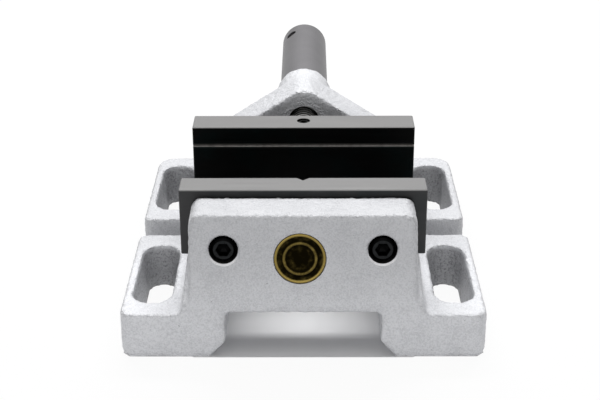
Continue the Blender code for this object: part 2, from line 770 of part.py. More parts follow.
def base_casting():
    """The one-piece cast body."""
    body = ear_plate()
    join(body, core_block(), upright_block(), end_wall(), hub_drum())
    cut(body, *under_channel(), *ear_slots())
    cut(body, *front_screw_bores(), badge_recess(), *hub_bores())


def badge():
    """A plain round brass plate with a raised rim and a raised ring in its field."""
    radius = BADGE_DIAMETER / 2
    field = radius - BADGE_RIM_WIDTH
    ring_outer = field - 2 * BADGE_RIM_WIDTH
    ring_inner = ring_outer - BADGE_RIM_WIDTH
    floor = BADGE_THICKNESS - BADGE_FIELD_DEPTH
    profile = [
        (0, floor),
        (ring_inner, floor),
        (ring_inner, BADGE_THICKNESS),
        (ring_outer, BADGE_THICKNESS),
        (ring_outer, floor),
        (field, floor),
        (field, BADGE_THICKNESS),
        (radius, BADGE_THICKNESS),
        (radius, 0),
        (0, 0),
    ]
    start = badge_seat(BADGE_THICKNESS - BADGE_PROUD)
    turned("badge_plate", profile, ROUND_SIDES, badge_axis(), start, BRASS)


def jaw_bar(name, front, rear, carrier=None):
    """A jaw's steel bar across the ways, with all its edges broken."""
    half_width = JAW_WIDTH / 2
    outline = box_outline(front, JAW_BOTTOM, rear, JAW_TOP)
    shape = prism_shape(outline, -half_width, half_width, "X")
    round_edges(shape, lambda first, second: True, JAW_EDGE_CHAMFER, 1)
    return from_bmesh(name, shape, BLACKENED_STEEL, carrier)


def front_jaw():
    """The fixed jaw's steel bar, with an upright prism groove and two tapped holes."""
    jaw = jaw_bar("front_jaw", FRONT_JAW_FRONT, FRONT_JAW_REAR)
    half_groove = UPRIGHT_PRISM_WIDTH / 2
    reach = OVERRUN * UPRIGHT_PRISM_DEPTH / half_groove
    groove = [
        (0, FRONT_JAW_REAR - UPRIGHT_PRISM_DEPTH),
        (half_groove + OVERRUN, FRONT_JAW_REAR + reach),
        (-half_groove - OVERRUN, FRONT_JAW_REAR + reach),
    ]
    low = JAW_BOTTOM - OVERRUN
    high = JAW_TOP + OVERRUN
    cut(jaw, prism("upright_prism_groove", groove, low, high, "Z"))
    hole = SCREW_DIAMETER + 2 * SEAT_GAP
    depth = OVERRUN + SCREW_GRIP + SCREW_TIP_ROOM
    for side, sign in both_sides():
        x = sign * FRONT_SCREW_SPACING / 2
        start = (x, FRONT_JAW_FRONT - OVERRUN, FRONT_SCREW_HEIGHT)
        cut(jaw, rod(f"front_jaw_tapping_{side}", hole, depth, (0, 1, 0), start))


def cap_screw(name, seat, axis, shank, carrier=None):
    """A socket cap screw whose head stands on its seat, out along the axis."""
    radius = SCREW_DIAMETER / 2
    head = SCREW_HEAD_DIAMETER / 2
    profile = [
        (0, SCREW_HEAD_HEIGHT),
        (head - SCREW_HEAD_CHAMFER, SCREW_HEAD_HEIGHT),
        (head, SCREW_HEAD_HEIGHT - SCREW_HEAD_CHAMFER),
        (head, 0),
        (radius, 0),
        (radius, SCREW_HEAD_CHAMFER - shank),
        (radius - SCREW_HEAD_CHAMFER, -shank),
        (0, -shank),
    ]
    screw = turned(name, profile, SMALL_SIDES, axis, seat, BLACK_SCREW_STEEL, carrier)
    mouth = Vector(seat) + Vector(axis) * SCREW_HEAD_HEIGHT
    socket = hexagon(f"{name}_socket", SCREW_SOCKET_FLATS, SCREW_SOCKET_DEPTH, axis, mouth)
    cut(screw, socket)


def front_jaw_screws():
    """The two cap screws that hold the front jaw from the front of the casting."""
    seat = FRONT_SCREW_SEAT - SEAT_GAP
    shank = FRONT_JAW_FRONT + SCREW_GRIP - seat
    for side, sign in both_sides():
        where = (sign * FRONT_SCREW_SPACING / 2, seat, FRONT_SCREW_HEIGHT)
        cap_screw(f"front_jaw_screw_{side}", where, (0, -1, 0), shank)


def moving_jaw():
    """The moving jaw's steel bar, with a level prism groove and its drilled holes."""
    jaw = jaw_bar("moving_jaw", MOVING_JAW_FRONT, MOVING_JAW_REAR, JAW_AXIS)
    level = JAW_TOP - LEVEL_PRISM_DROP
    half_groove = LEVEL_PRISM_WIDTH / 2
    spread = OVERRUN * half_groove / LEVEL_PRISM_DEPTH
    groove = [
        (MOVING_JAW_FRONT + LEVEL_PRISM_DEPTH, level),
        (MOVING_JAW_FRONT - OVERRUN, level + half_groove + spread),
        (MOVING_JAW_FRONT - OVERRUN, level - half_groove - spread),
    ]
    half_cut = JAW_WIDTH / 2 + OVERRUN
    cut(jaw, prism("level_prism_groove", groove, -half_cut, half_cut, "X"))
    nose_hole = rod(
        "nose_hole",
        NOSE_DIAMETER + 2 * SEAT_GAP,
        NOSE_DEPTH + OVERRUN,
        (0, 1, 0),
        (0, MOVING_JAW_REAR - NOSE_DEPTH, SPINDLE_HEIGHT),
        ROUND_SIDES,
    )
    lock_hole = rod(
        "lock_screw_hole",
        LOCK_SCREW_DIAMETER + 2 * SEAT_GAP,
        JAW_TOP - SPINDLE_HEIGHT + OVERRUN,
        (0, 0, 1),
        (0, LOCK_SCREW_STATION, SPINDLE_HEIGHT),
    )
    cut(jaw, nose_hole, lock_hole)
    hole = SCREW_DIAMETER + 2 * SEAT_GAP
    depth = OVERRUN + SCREW_GRIP + SCREW_TIP_ROOM
    for side, sign in both_sides():
        x = sign * KEEPER_SCREW_SPACING / 2
        start = (x, KEEPER_SCREW_STATION, JAW_BOTTOM - OVERRUN)
        cut(jaw, rod(f"moving_jaw_tapping_{side}", hole, depth, (0, 0, 1), start))


def drilled_plate(name, half_width, low, high, radius):
    """A plate under the moving jaw with a through hole for each keeper screw."""
    plan = box_outline(-half_width, GUIDE_FRONT, half_width, GUIDE_REAR, radius)
    plate = prism(name, plan, low, high, "Z", GREY_STEEL, JAW_AXIS)
    hole = SCREW_DIAMETER + 2 * SEAT_GAP
    length = high - low + 2 * OVERRUN
    for side, sign in both_sides():
        x = sign * KEEPER_SCREW_SPACING / 2
        start = (x, KEEPER_SCREW_STATION, low - OVERRUN)
        cut(plate, rod(f"{name}_screw_hole_{side}", hole, length, (0, 0, 1), start))


def guide_block():
    """The block that slides between the ways and keeps the jaw square."""
    half_width = WAY_GAP_WIDTH / 2 - SEAT_GAP
    drilled_plate("guide_block", half_width, WAY_UNDERSIDE, WAY_HEIGHT, GUIDE_CORNER_RADIUS)


def keeper_plate():
    """The plate that reaches under both ways and keeps the jaw down."""
    half_width = KEEPER_WIDTH / 2
    drilled_plate("keeper_plate", half_width, KEEPER_BOTTOM, KEEPER_TOP, KEEPER_CORNER_RADIUS)


def keeper_screws():
    """The two cap screws that hold the keeper plate and guide block up to the jaw."""
    shank = JAW_BOTTOM + SCREW_GRIP - KEEPER_SCREW_SEAT
    for side, sign in both_sides():
        where = (sign * KEEPER_SCREW_SPACING / 2, KEEPER_SCREW_STATION, KEEPER_SCREW_SEAT)
        cap_screw(f"keeper_screw_{side}", where, (0, 0, -1), shank, JAW_AXIS)


def keeper_lock_washers():
    """The split lock washers under the keeper screws' heads."""
    inner = SCREW_DIAMETER / 2 + SEAT_GAP
    outer = LOCK_WASHER_DIAMETER / 2
    thickness = LOCK_WASHER_THICKNESS
    profile = [(inner, thickness), (outer, thickness), (outer, 0), (inner, 0)]
    half_split = LOCK_WASHER_SPLIT / 2
    low = KEEPER_SCREW_SEAT - OVERRUN
    for side, sign in both_sides():
        name = f"keeper_lock_washer_{side}"
        x = sign * KEEPER_SCREW_SPACING / 2
        start = (x, KEEPER_SCREW_STATION, KEEPER_SCREW_SEAT + SEAT_GAP)
        washer = turned(name, profile, SMALL_SIDES, (0, 0, 1), start, BRIGHT_STEEL, JAW_AXIS)
        split = box_outline(
            x,
            KEEPER_SCREW_STATION - half_split,
            x + LOCK_WASHER_DIAMETER,
            KEEPER_SCREW_STATION + half_split,
        )
        cut(washer, prism(f"{name}_split", split, low, LOCK_WASHER_TOP + OVERRUN, "Z"))


def spindle():
    """The spindle's plain blank: a grooved nose, a shoulder and a long chamfered rod."""
    nose = NOSE_DIAMETER / 2
    groove = nose - NOSE_GROOVE_DEPTH
    body = SPINDLE_DIAMETER / 2
    half_groove = LOCK_SCREW_POINT_DIAMETER / 2 + SEAT_GAP
    groove_middle = LOCK_SCREW_STATION - SPINDLE_FRONT
    shoulder = SPINDLE_SHOULDER - SPINDLE_FRONT
    length = SPINDLE_REAR - SPINDLE_FRONT
    profile = [
        (0, length),
        (body - SPINDLE_TIP_CHAMFER, length),
        (body, length - SPINDLE_TIP_CHAMFER),
        (body, shoulder),
        (nose, shoulder),
        (nose, groove_middle + half_groove),
        (groove, groove_middle + half_groove),
        (groove, groove_middle - half_groove),
        (nose, groove_middle - half_groove),
        (nose, NOSE_CHAMFER),
        (nose - NOSE_CHAMFER, 0),
        (0, 0),
    ]
    start = (0, SPINDLE_FRONT, SPINDLE_HEIGHT)
    turned("spindle", profile, ROUND_SIDES, (0, 1, 0), start, BRIGHT_STEEL, JAW_AXIS)


def jaw_lock_screw():
    """The dog-point screw down through the moving jaw that holds the spindle's nose."""
    radius = LOCK_SCREW_DIAMETER / 2
    point = LOCK_SCREW_POINT_DIAMETER / 2
    bottom = SPINDLE_HEIGHT + NOSE_DIAMETER / 2 - NOSE_GROOVE_DEPTH + SEAT_GAP
    length = NOSE_GROOVE_DEPTH + LOCK_SCREW_LENGTH
    profile = [
        (0, length),
        (radius, length),
        (radius, NOSE_GROOVE_DEPTH),
        (point, NOSE_GROOVE_DEPTH),
        (point, 0),
        (0, 0),
    ]
    name = "jaw_lock_screw"
    start = (0, LOCK_SCREW_STATION, bottom)
    screw = turned(name, profile, SMALL_SIDES, (0, 0, 1), start, BLACK_SCREW_STEEL, JAW_AXIS)
    flats = LOCK_SCREW_SOCKET_FLATS
    depth = LOCK_SCREW_SOCKET_DEPTH
    mouth = (0, LOCK_SCREW_STATION, bottom + length)
    cut(screw, hexagon(f"{name}_socket", flats, depth, (0, 0, 1), mouth))


def sleeve_nut():
    """The sleeve nut: a grooved journal, a shoulder, a deep blind bore and a cross hole."""
    outer = SLEEVE_DIAMETER / 2
    journal = JOURNAL_DIAMETER / 2
    groove = journal - PIN_BITE - SEAT_GAP
    nut = SPINDLE_DIAMETER / 2 + SEAT_GAP
    relief = RELIEF_DIAMETER / 2
    length = SLEEVE_REAR - SLEEVE_FRONT
    shoulder = SLEEVE_SHOULDER - SLEEVE_FRONT
    groove_middle = PIN_STATION - SLEEVE_FRONT
    half_groove = PIN_DIAMETER / 2 + SEAT_GAP
    bore_end = SLEEVE_BORE_REAR - SLEEVE_FRONT
    profile = [
        (0, length),
        (outer - SLEEVE_END_CHAMFER, length),
        (outer, length - SLEEVE_END_CHAMFER),
        (outer, shoulder + JOURNAL_CHAMFER),
        (outer - JOURNAL_CHAMFER, shoulder),
        (journal, shoulder),
        (journal, groove_middle + half_groove),
        (groove, groove_middle + half_groove),
        (groove, groove_middle - half_groove),
        (journal, groove_middle - half_groove),
        (journal, JOURNAL_CHAMFER),
        (journal - JOURNAL_CHAMFER, 0),
        (nut + JOURNAL_CHAMFER, 0),
        (nut, JOURNAL_CHAMFER),
        (nut, NUT_LENGTH),
        (relief, NUT_LENGTH),
        (relief, bore_end),
        (0, bore_end + DRILL_POINT_SHARE * RELIEF_DIAMETER),
    ]
    start = (0, SLEEVE_FRONT, SPINDLE_HEIGHT)
    made = turned("sleeve_nut", profile, FINE_SIDES, (0, 1, 0), start, GREY_STEEL, SLEEVE_AXIS)
    across = Vector((-math.sin(CROSS_HOLE_TILT), 0, math.cos(CROSS_HOLE_TILT)))
    reach = SLEEVE_DIAMETER + 2 * OVERRUN
    middle = Vector((0, SLEEVE_REAR - CROSS_HOLE_INSET, SPINDLE_HEIGHT))
    low = middle - across * reach / 2
    cut(made, rod("cross_hole", CROSS_HOLE_DIAMETER, reach, across, low, ROUND_SIDES))


def thrust_washer():
    """The bronze washer between the hub's inner wall and the sleeve's journal."""
    outer = JOURNAL_DIAMETER / 2
    inner = WASHER_BORE / 2
    profile = [(inner, WASHER_THICKNESS), (outer, WASHER_THICKNESS), (outer, 0), (inner, 0)]
    start = (0, WASHER_FRONT, SPINDLE_HEIGHT)
    turned("thrust_washer", profile, ROUND_SIDES, (0, 1, 0), start, BRONZE)


def sleeve_pins():
    """The two pins that stand in the sleeve's groove, driven in from under the hub."""
    radius = PIN_DIAMETER / 2
    profile = [
        (0, PIN_LENGTH),
        (radius - PIN_CHAMFER, PIN_LENGTH),
        (radius, PIN_LENGTH - PIN_CHAMFER),
        (radius, PIN_CHAMFER),
        (radius - PIN_CHAMFER, 0),
        (0, 0),
    ]
    for side, sign in both_sides():
        start = (sign * PIN_OFFSET, PIN_STATION, PIN_BOTTOM)
        turned(f"sleeve_pin_{side}", profile, SMALL_SIDES, (0, 0, 1), start, BRIGHT_STEEL)


base_casting()
badge()
front_jaw()
front_jaw_screws()
moving_jaw()
guide_block()
keeper_plate()
keeper_screws()
keeper_lock_washers()
spindle()
jaw_lock_screw()
sleeve_nut()
thrust_washer()
sleeve_pins()
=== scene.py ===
"""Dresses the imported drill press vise: its cast body, jaws, screws, spindle, sleeve and studio."""

import json
import logging
import math
from dataclasses import dataclass, field
from enum import Enum

import bmesh
import bpy
import numpy as np
from bmesh.types import BMEdge, BMesh, BMVert
from bpy.types import Material, Mesh, Node, NodeSocket, NodeTree, Object
from mathutils import Matrix, Vector, noise

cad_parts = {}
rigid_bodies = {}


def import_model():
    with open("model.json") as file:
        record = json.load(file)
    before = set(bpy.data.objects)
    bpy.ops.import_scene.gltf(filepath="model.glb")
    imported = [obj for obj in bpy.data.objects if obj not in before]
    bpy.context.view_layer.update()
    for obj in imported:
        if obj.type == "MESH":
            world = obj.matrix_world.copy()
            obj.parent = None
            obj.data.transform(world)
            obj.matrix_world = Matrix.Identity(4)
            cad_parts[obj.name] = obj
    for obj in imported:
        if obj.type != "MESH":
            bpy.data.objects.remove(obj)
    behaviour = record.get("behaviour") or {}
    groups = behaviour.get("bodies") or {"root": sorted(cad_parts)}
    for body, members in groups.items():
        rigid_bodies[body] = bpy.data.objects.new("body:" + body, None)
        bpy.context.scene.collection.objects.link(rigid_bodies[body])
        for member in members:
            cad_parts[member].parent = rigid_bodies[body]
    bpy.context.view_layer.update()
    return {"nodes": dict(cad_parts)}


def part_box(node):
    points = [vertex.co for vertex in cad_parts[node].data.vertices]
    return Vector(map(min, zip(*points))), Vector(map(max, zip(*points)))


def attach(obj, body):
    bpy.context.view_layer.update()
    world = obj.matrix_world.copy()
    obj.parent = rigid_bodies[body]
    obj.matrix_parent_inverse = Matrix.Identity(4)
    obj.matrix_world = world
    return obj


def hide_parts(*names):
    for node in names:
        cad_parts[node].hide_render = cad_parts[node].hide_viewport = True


MM = 0.001
DEGREE = math.pi / 180
SMOOTH_ANGLE = 35 * DEGREE
BACK = Vector((0, 1, 0))
UP = Vector((0, 0, 1))
SIDES = ("left", "right")
BASE_MIDDLE = -48.3 * MM
WAY_HEIGHT = 34.3 * MM
WELD = 0.002 * MM
log = logging.getLogger("drill_press_vise")

Feed = float | tuple[float, ...] | NodeSocket
Span = tuple[float, float]
Triple = tuple[float, float, float]

# The parts of a noise pattern's range that most finishes use.
MIDDLE: Span = (0.3, 0.7)
WIDE: Span = (0.2, 0.8)
# The depth and strength of the finest tool marks.
FINE: Span = (0.02 * MM, 0.5)


class Body(Enum):
    """The moving bodies of the vise."""

    CASTING = "body"
    JAW = "jaw"
    SLEEVE = "sleeve"


class Slot(Enum):
    """The record's material slots."""

    PAINT = "silver_paint"
    BLACKENED = "blackened_steel"
    SCREW = "black_screw_steel"
    GREY = "grey_steel"
    BRIGHT = "bright_steel"
    BRASS = "brass"
    BRONZE = "bronze"


def faded(colour: Triple, share: float) -> Triple:
    """Returns a share of a colour's light."""
    return tuple(share * part for part in colour)


def centre(node: str) -> Vector:
    """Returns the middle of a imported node's box."""
    low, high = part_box(node)
    return (low + high) / 2


@dataclass(frozen=True)
class Pattern:
    """A noise pattern: its scale, how many finer layers it has, how strong they are, and its stretch."""

    scale: float = 1.0
    detail: float = 3.0
    rough: float = 0.6
    stretch: Triple | None = None


class Bench:
    """Lays out and joins the nodes of one tree."""

    def __init__(self, tree: NodeTree) -> None:
        """Keeps the tree."""
        self.tree = tree

    def feed(self, socket: NodeSocket, value: Feed) -> None:
        """Joins a socket to another one, or sets its value.

        Args:
            socket: The input.
            value: What goes into it.
        """
        if isinstance(value, NodeSocket):
            self.tree.links.new(value, socket)
        else:
            socket.default_value = value

    def node(self, kind: str, feeds: dict[str | int, Feed] | None = None, **settings: object) -> Node:
        """Adds a node.

        Args:
            kind: The node's type.
            feeds: What goes into its inputs, by name or number.
            **settings: The node's own properties.

        Returns:
            The new node.
        """
        made = self.tree.nodes.new(kind)
        for name, setting in settings.items():
            setattr(made, name, setting)
        for key, value in (feeds or {}).items():
            self.feed(made.inputs[key], value)
        return made

    def math(self, operation: str, *values: Feed) -> NodeSocket:
        """Returns the result of a math node on one, two or three values."""
        return self.node("ShaderNodeMath", dict(enumerate(values)), operation=operation).outputs[0]

    def product(self, first: Feed, *others: Feed) -> NodeSocket:
        """Multiplies values.

        Args:
            first: The first value.
            *others: The values that multiply it.

        Returns:
            Their product.
        """
        for other in others:
            first = self.math("MULTIPLY", first, other)
        return first

    def distance(self, across: Feed, along: Feed) -> NodeSocket:
        """Returns how far a point lies from an axis, by its distance in two directions."""
        squares = [self.math("POWER", side, 2.0) for side in (across, along)]
        return self.math("SQRT", self.math("ADD", *squares))


class Shader(Bench):
    """A material of one Principled shader, and what feeds it."""

    def __init__(self, name: str, metallic: float = 0.0) -> None:
        """Starts the material.

        Args:
            name: The material's name.
            metallic: Its plain share of metal.
        """
        self.material = bpy.data.materials.new(name)
        self.material.use_nodes = True
        super().__init__(self.material.node_tree)
        self.surface = self.tree.nodes["Principled BSDF"]
        self.surface.inputs["Metallic"].default_value = metallic
        self.place = self.node("ShaderNodeTexCoord").outputs["Object"]
        self.x, self.y, self.z = self.node("ShaderNodeSeparateXYZ", {0: self.place}).outputs

    def attribute(self, name: str) -> NodeSocket:
        """Returns a value that the mesh holds at each point."""
        return self.node("ShaderNodeAttribute", attribute_name=name).outputs["Fac"]

    def from_middle(self, height: float) -> NodeSocket:
        """Returns the distance from the vise's middle line at a height."""
        return self.distance(self.x, self.math("SUBTRACT", self.z, height))

    def noise(self, pattern: Pattern) -> NodeSocket:
        """Adds a noise pattern.

        Args:
            pattern: Its scale, layers and stretch.

        Returns:
            A value from 0 to 1.
        """
        where = self.place
        if pattern.stretch is not None:
            where = self.node("ShaderNodeMapping", {"Vector": where, "Scale": pattern.stretch}).outputs[0]
        feeds = {"Vector": where, "Scale": pattern.scale, "Detail": pattern.detail}
        feeds["Roughness"] = pattern.rough
        return self.node("ShaderNodeTexNoise", feeds).outputs[0]

    def mixture(self, first: NodeSocket, second: NodeSocket, share: float) -> NodeSocket:
        """Returns the sum of a share of the first pattern and the rest of the second."""
        return self.math("MULTIPLY_ADD", first, share, self.math("MULTIPLY", second, 1.0 - share))

    def between(
        self, value: Feed, low: float, high: float, start: float = 0.0, end: float = 1.0
    ) -> NodeSocket:
        """Maps a value smoothly.

        Args:
            value: The value that comes in.
            low: Where the mapping begins.
            high: Where the mapping ends.
            start: The result at the beginning.
            end: The result at the end.

        Returns:
            The mapped value.
        """
        feeds = dict(enumerate((value, low, high, start, end)))
        return self.node("ShaderNodeMapRange", feeds, interpolation_type="SMOOTHSTEP").outputs[0]

    def band(self, value: Feed, low: float, high: float, blur: float) -> NodeSocket:
        """Returns 1 where a value is from low to high, and 0 outside, with blurred ends."""
        rise = self.between(value, low - blur, low + blur)
        return self.math("MULTIPLY", rise, self.between(value, high - blur, high + blur, 1.0, 0.0))

    def blend(self, share: Feed, first: Feed, second: Feed) -> NodeSocket:
        """Mixes two colours.

        Args:
            share: How much of the second colour there is.
            first: The first colour.
            second: The second colour.

        Returns:
            The mixed colour.
        """
        made = self.node("ShaderNodeMix", data_type="RGBA")
        for index, value in ((0, share), (6, first), (7, second)):
            if isinstance(value, tuple):
                value = (*value, 1.0)
            self.feed(made.inputs[index], value)
        return made.outputs[2]

    def relief(
        self, height: NodeSocket, depth: float, strength: Feed = 1.0, over: NodeSocket | None = None
    ) -> NodeSocket:
        """Adds a bump.

        Args:
            height: The pattern, from 0 to 1.
            depth: How deep it is, in metres.
            strength: The share of it that shows.
            over: The bump that it lies over.

        Returns:
            The bumped normal.
        """
        made = self.node("ShaderNodeBump", {"Strength": strength, "Distance": depth, "Height": height})
        if over is not None:
            self.feed(made.inputs["Normal"], over)
        return made.outputs[0]

    def finish(
        self,
        colour: Feed,
        roughness: Feed,
        normal: NodeSocket | None = None,
        metallic: NodeSocket | None = None,
    ) -> Material:
        """Joins what was made to the surface.

        Args:
            colour: The base colour.
            roughness: The roughness.
            normal: The bumped normal, if there is one.
            metallic: The share of metal, where it varies.

        Returns:
            The material.
        """
        found = {"Base Color": colour, "Roughness": roughness, "Normal": normal, "Metallic": metallic}
        for name, value in found.items():
            if value is not None:
                self.feed(self.surface.inputs[name], value)
        return self.material


@dataclass(frozen=True)
class CastPaint:
    """Silver hammered paint over sand-cast iron, with machined ways and foot.

    The casting's mesh says at each point, in the values that skin names, how tightly its edges bend.
    """

    skin: str = "edge"
    colour: Triple = (0.605, 0.61, 0.63)
    shade: Triple = (0.475, 0.48, 0.50)
    # The pale colour of the highlights that are painted on the rims' knobs and the counterbores' lower
    # chamfers.
    edge_glint: Triple = (0.74, 0.74, 0.75)
    speck: Triple = (0.20, 0.20, 0.21)
    # The dark colour of the shade painted low on the walls of the ears' slots.
    slot_shade: Triple = (0.13, 0.13, 0.135)
    # The near-black colour of the shade painted in the hub's bore and the screws' counterbores.
    hole_shade: Triple = (0.010, 0.010, 0.010)
    bare: Triple = (0.42, 0.415, 0.41)
    bare_dark_share: float = 0.8
    # Painted light and shade: at the front the colour is lighter low down, where light bounces off the
    # floor, and darker high up; at the rear it is darker, most of all low down.
    front_light_shares: Span = (1.15, 0.86)
    rear_light_shares: Span = (0.88, 0.98)
    length_range: Span = (-104.0 * MM, -40.0 * MM)
    height_range: Span = (8.0 * MM, 50.0 * MM)
    lumps: Pattern = Pattern(620.0, 2.0, 0.55)
    grain: Pattern = Pattern(1500.0)
    cloud: Pattern = Pattern(90.0, 3.0, 0.5)
    mottle_range: Span = (0.36, 0.60)
    grain_share: float = 0.8
    knobs: Pattern = Pattern(640.0, 2.0)
    knob_range: Span = (0.44, 0.62)
    # How strongly the highlight is painted on the rims' knobs.
    edge_glint_share: float = 0.35
    specks: Pattern = Pattern(520.0, 2.0, 0.7)
    speck_range: Span = (0.715, 0.75)
    speck_share: float = 0.55
    spots: Pattern = Pattern(1000.0, 3.0, 0.7)
    spot_range: Span = (0.46, 0.66)
    spot_shares: Span = (0.34, 0.95)
    slot_shade_share: float = 0.75
    swirl: Pattern = Pattern(1.0, 2.0, 0.5, (90.0, 2600.0, 90.0))
    swirl_share: float = 0.4
    roughness: Span = (0.48, 0.66)
    bare_gloss: float = 0.14
    metal_shares: Span = (0.30, 0.85)
    lump_depth: float = 0.50 * MM
    grain_depth: float = 0.22 * MM
    bead_depth: float = 0.40 * MM
    swirl_depth: float = 0.02 * MM
    slot_across: Span = (53.4 * MM, 70.6 * MM)
    slot_along: Span = (18.2 * MM, 71.0 * MM)
    slot_top: Span = (16.9 * MM, 17.9 * MM)
    slot_blur: float = 0.3 * MM
    mouth_radius: float = 7.5 * MM
    bore_radius: float = 9.9 * MM
    bore_step: Span = (13.1 * MM, 13.2 * MM)
    bore_front: float = 8.0 * MM
    rim_width: float = 2.6 * MM
    rim_reach: Span = (8.0 * MM, 10.0 * MM)
    rim_blur: float = 0.4 * MM
    screw_floor: float = -119.0 * MM
    counterbore_radius: float = 5.83 * MM
    chamfer_radius: float = 6.5 * MM
    chamfer_shares: Span = (-0.95, -0.25)
    way_length: Span = (-105.7 * MM, 8.7 * MM)
    way_half_width: float = 48.4 * MM
    way_reach: float = 0.2 * MM
    way_blur: float = 0.05 * MM
    end_blur: float = 0.2 * MM
    foot_reach: Span = (0.12 * MM, 0.20 * MM)

    def build(self) -> Material:
        """Makes the painted cast iron.

        Returns:
            The material.
        """
        shader = Shader("hammered_silver_paint")
        grain, swirl = shader.noise(self.grain), shader.noise(self.swirl)
        knobs = shader.between(shader.noise(self.knobs), *self.knob_range)
        rims = shader.math("MAXIMUM", shader.attribute(self.skin), self.hub_rim(shader))
        # The rims' knobs get bumps and a painted highlight.
        rim_knobs = shader.math("MULTIPLY", rims, knobs)
        bare = shader.math("ADD", self.ways(shader), self.foot(shader))
        iron = shader.blend(swirl, faded(self.bare, self.bare_dark_share), self.bare)
        colour = shader.blend(bare, self.coats(shader, grain, rim_knobs), iron)
        roughness = shader.between(grain, *MIDDLE, *self.roughness)
        roughness = shader.math("MULTIPLY_ADD", bare, -self.bare_gloss, roughness)
        cast = shader.math("SUBTRACT", 1.0, bare)
        milled = shader.math("MULTIPLY", bare, self.swirl_share)
        bump = shader.relief(shader.noise(self.lumps), self.lump_depth, cast)
        bump = shader.relief(grain, self.grain_depth, cast, bump)
        bump = shader.relief(rim_knobs, self.bead_depth, cast, bump)
        bump = shader.relief(swirl, self.swirl_depth, milled, bump)
        metal = shader.between(bare, 0.0, 1.0, *self.metal_shares)
        return shader.finish(colour, roughness, bump, metal)

    def coats(self, shader: Shader, grain: NodeSocket, rim_knobs: NodeSocket) -> NodeSocket:
        """Lays the paint's mottled coat, and paints light and shade into it: highlights on the rims and on
        the counterbores' lower chamfers, shade low in the ears' slots, and near-black shade in the hub's
        bore and the screws' counterbores.

        Args:
            shader: The casting's shader.
            grain: The paint's fine pattern.
            rim_knobs: The rough knobs on the rims, which get a painted highlight.

        Returns:
            The paint's colour.
        """
        mottle = shader.mixture(grain, shader.noise(self.cloud), self.grain_share)
        mottle = shader.between(mottle, *self.mottle_range)
        colour = shader.blend(mottle, self.painted_light(shader, self.shade), self.painted_light(shader, self.colour))
        # Painted highlight: the rims' knobs and the counterbores' lower chamfers take a pale colour, as if
        # they caught the light.
        rim_knobs = shader.math("MULTIPLY", rim_knobs, self.edge_glint_share)
        highlights = shader.math("MAXIMUM", rim_knobs, self.chamfer_highlights(shader))
        colour = shader.blend(highlights, colour, self.edge_glint)
        specks = shader.between(shader.noise(self.specks), *self.speck_range)
        colour = shader.blend(shader.math("MULTIPLY", specks, self.speck_share), colour, self.speck)
        # Painted shade: the low walls of the ears' slots are darkened.
        colour = shader.blend(self.slots(shader), colour, self.slot_shade)
        # Painted shade: the hub's bore and the screws' counterbores are painted near black.
        holes = shader.math("ADD", self.bore(shader), self.screw_disc(shader, self.counterbore_radius))
        return shader.blend(holes, colour, self.hole_shade)

    def painted_light(self, shader: Shader, colour: Triple) -> NodeSocket:
        """Paints light and shade into a colour, by height, at the front and at the rear.

        Args:
            shader: The casting's shader.
            colour: The plain colour.

        Returns:
            The varied colour.
        """
        climb = shader.between(shader.z, *self.height_range)
        ends = []
        for shares in (self.front_light_shares, self.rear_light_shares):
            low, high = (faded(colour, share) for share in shares)
            ends.append(shader.blend(climb, low, high))
        return shader.blend(shader.between(shader.y, *self.length_range), *ends)

    def slots(self, shader: Shader) -> NodeSocket:
        """Finds the low walls of the ears' slots, where shade is painted in blotches.

        Args:
            shader: The casting's shader.

        Returns:
            How much shade is painted there.
        """
        along = shader.math("ABSOLUTE", shader.math("SUBTRACT", shader.y, BASE_MIDDLE))
        spots = shader.between(shader.noise(self.spots), *self.spot_range, *self.spot_shares)
        return shader.product(
            shader.band(shader.math("ABSOLUTE", shader.x), *self.slot_across, self.slot_blur),
            shader.band(along, *self.slot_along, self.slot_blur),
            shader.between(shader.z, *self.slot_top, 1.0, 0.0),
            shader.math("MULTIPLY", spots, self.slot_shade_share),
        )

    def bore(self, shader: Shader) -> NodeSocket:
        """Finds the hub's bore and its mouth, which are painted near black as shade.

        Args:
            shader: The casting's shader.

        Returns:
            1 in the bore and its mouth.
        """
        inner = shader.between(shader.y, *self.bore_step)
        reach = shader.math("MULTIPLY_ADD", inner, self.bore_radius - self.mouth_radius, self.mouth_radius)
        near = shader.math("LESS_THAN", shader.from_middle(centre("spindle").z), reach)
        return shader.math("MULTIPLY", near, shader.math("GREATER_THAN", shader.y, self.bore_front))

    def hub_rim(self, shader: Shader) -> NodeSocket:
        """Finds the rough rim round the mouth of the hub's bore.

        Args:
            shader: The casting's shader.

        Returns:
            1 on the rim.
        """
        away = shader.from_middle(centre("spindle").z)
        ring = shader.band(away, self.mouth_radius, self.mouth_radius + self.rim_width, self.rim_blur)
        return shader.math("MULTIPLY", ring, shader.band(shader.y, *self.rim_reach, self.end_blur))

    def chamfer_highlights(self, shader: Shader) -> NodeSocket:
        """Finds the lower chamfers of the screws' counterbores, where a highlight is painted.

        Args:
            shader: The casting's shader.

        Returns:
            1 on the chamfers.
        """
        rise = shader.math("SUBTRACT", shader.z, centre("front_jaw_screw_right").z)
        reach = [share * self.counterbore_radius for share in self.chamfer_shares]
        low = shader.between(rise, *reach, 1.0, 0.0)
        return shader.math("MULTIPLY", low, self.screw_disc(shader, self.chamfer_radius))

    def screw_disc(self, shader: Shader, radius: float) -> NodeSocket:
        """Finds what lies round the screws in the front part of the upright.

        Args:
            shader: The casting's shader.
            radius: How far it reaches from a screw's axis.

        Returns:
            1 within that radius.
        """
        middle = centre("front_jaw_screw_right")
        aside = shader.math("SUBTRACT", shader.math("ABSOLUTE", shader.x), middle.x)
        away = shader.distance(aside, shader.math("SUBTRACT", shader.z, middle.z))
        near = shader.math("LESS_THAN", away, radius)
        return shader.math("MULTIPLY", near, shader.math("LESS_THAN", shader.y, self.screw_floor))

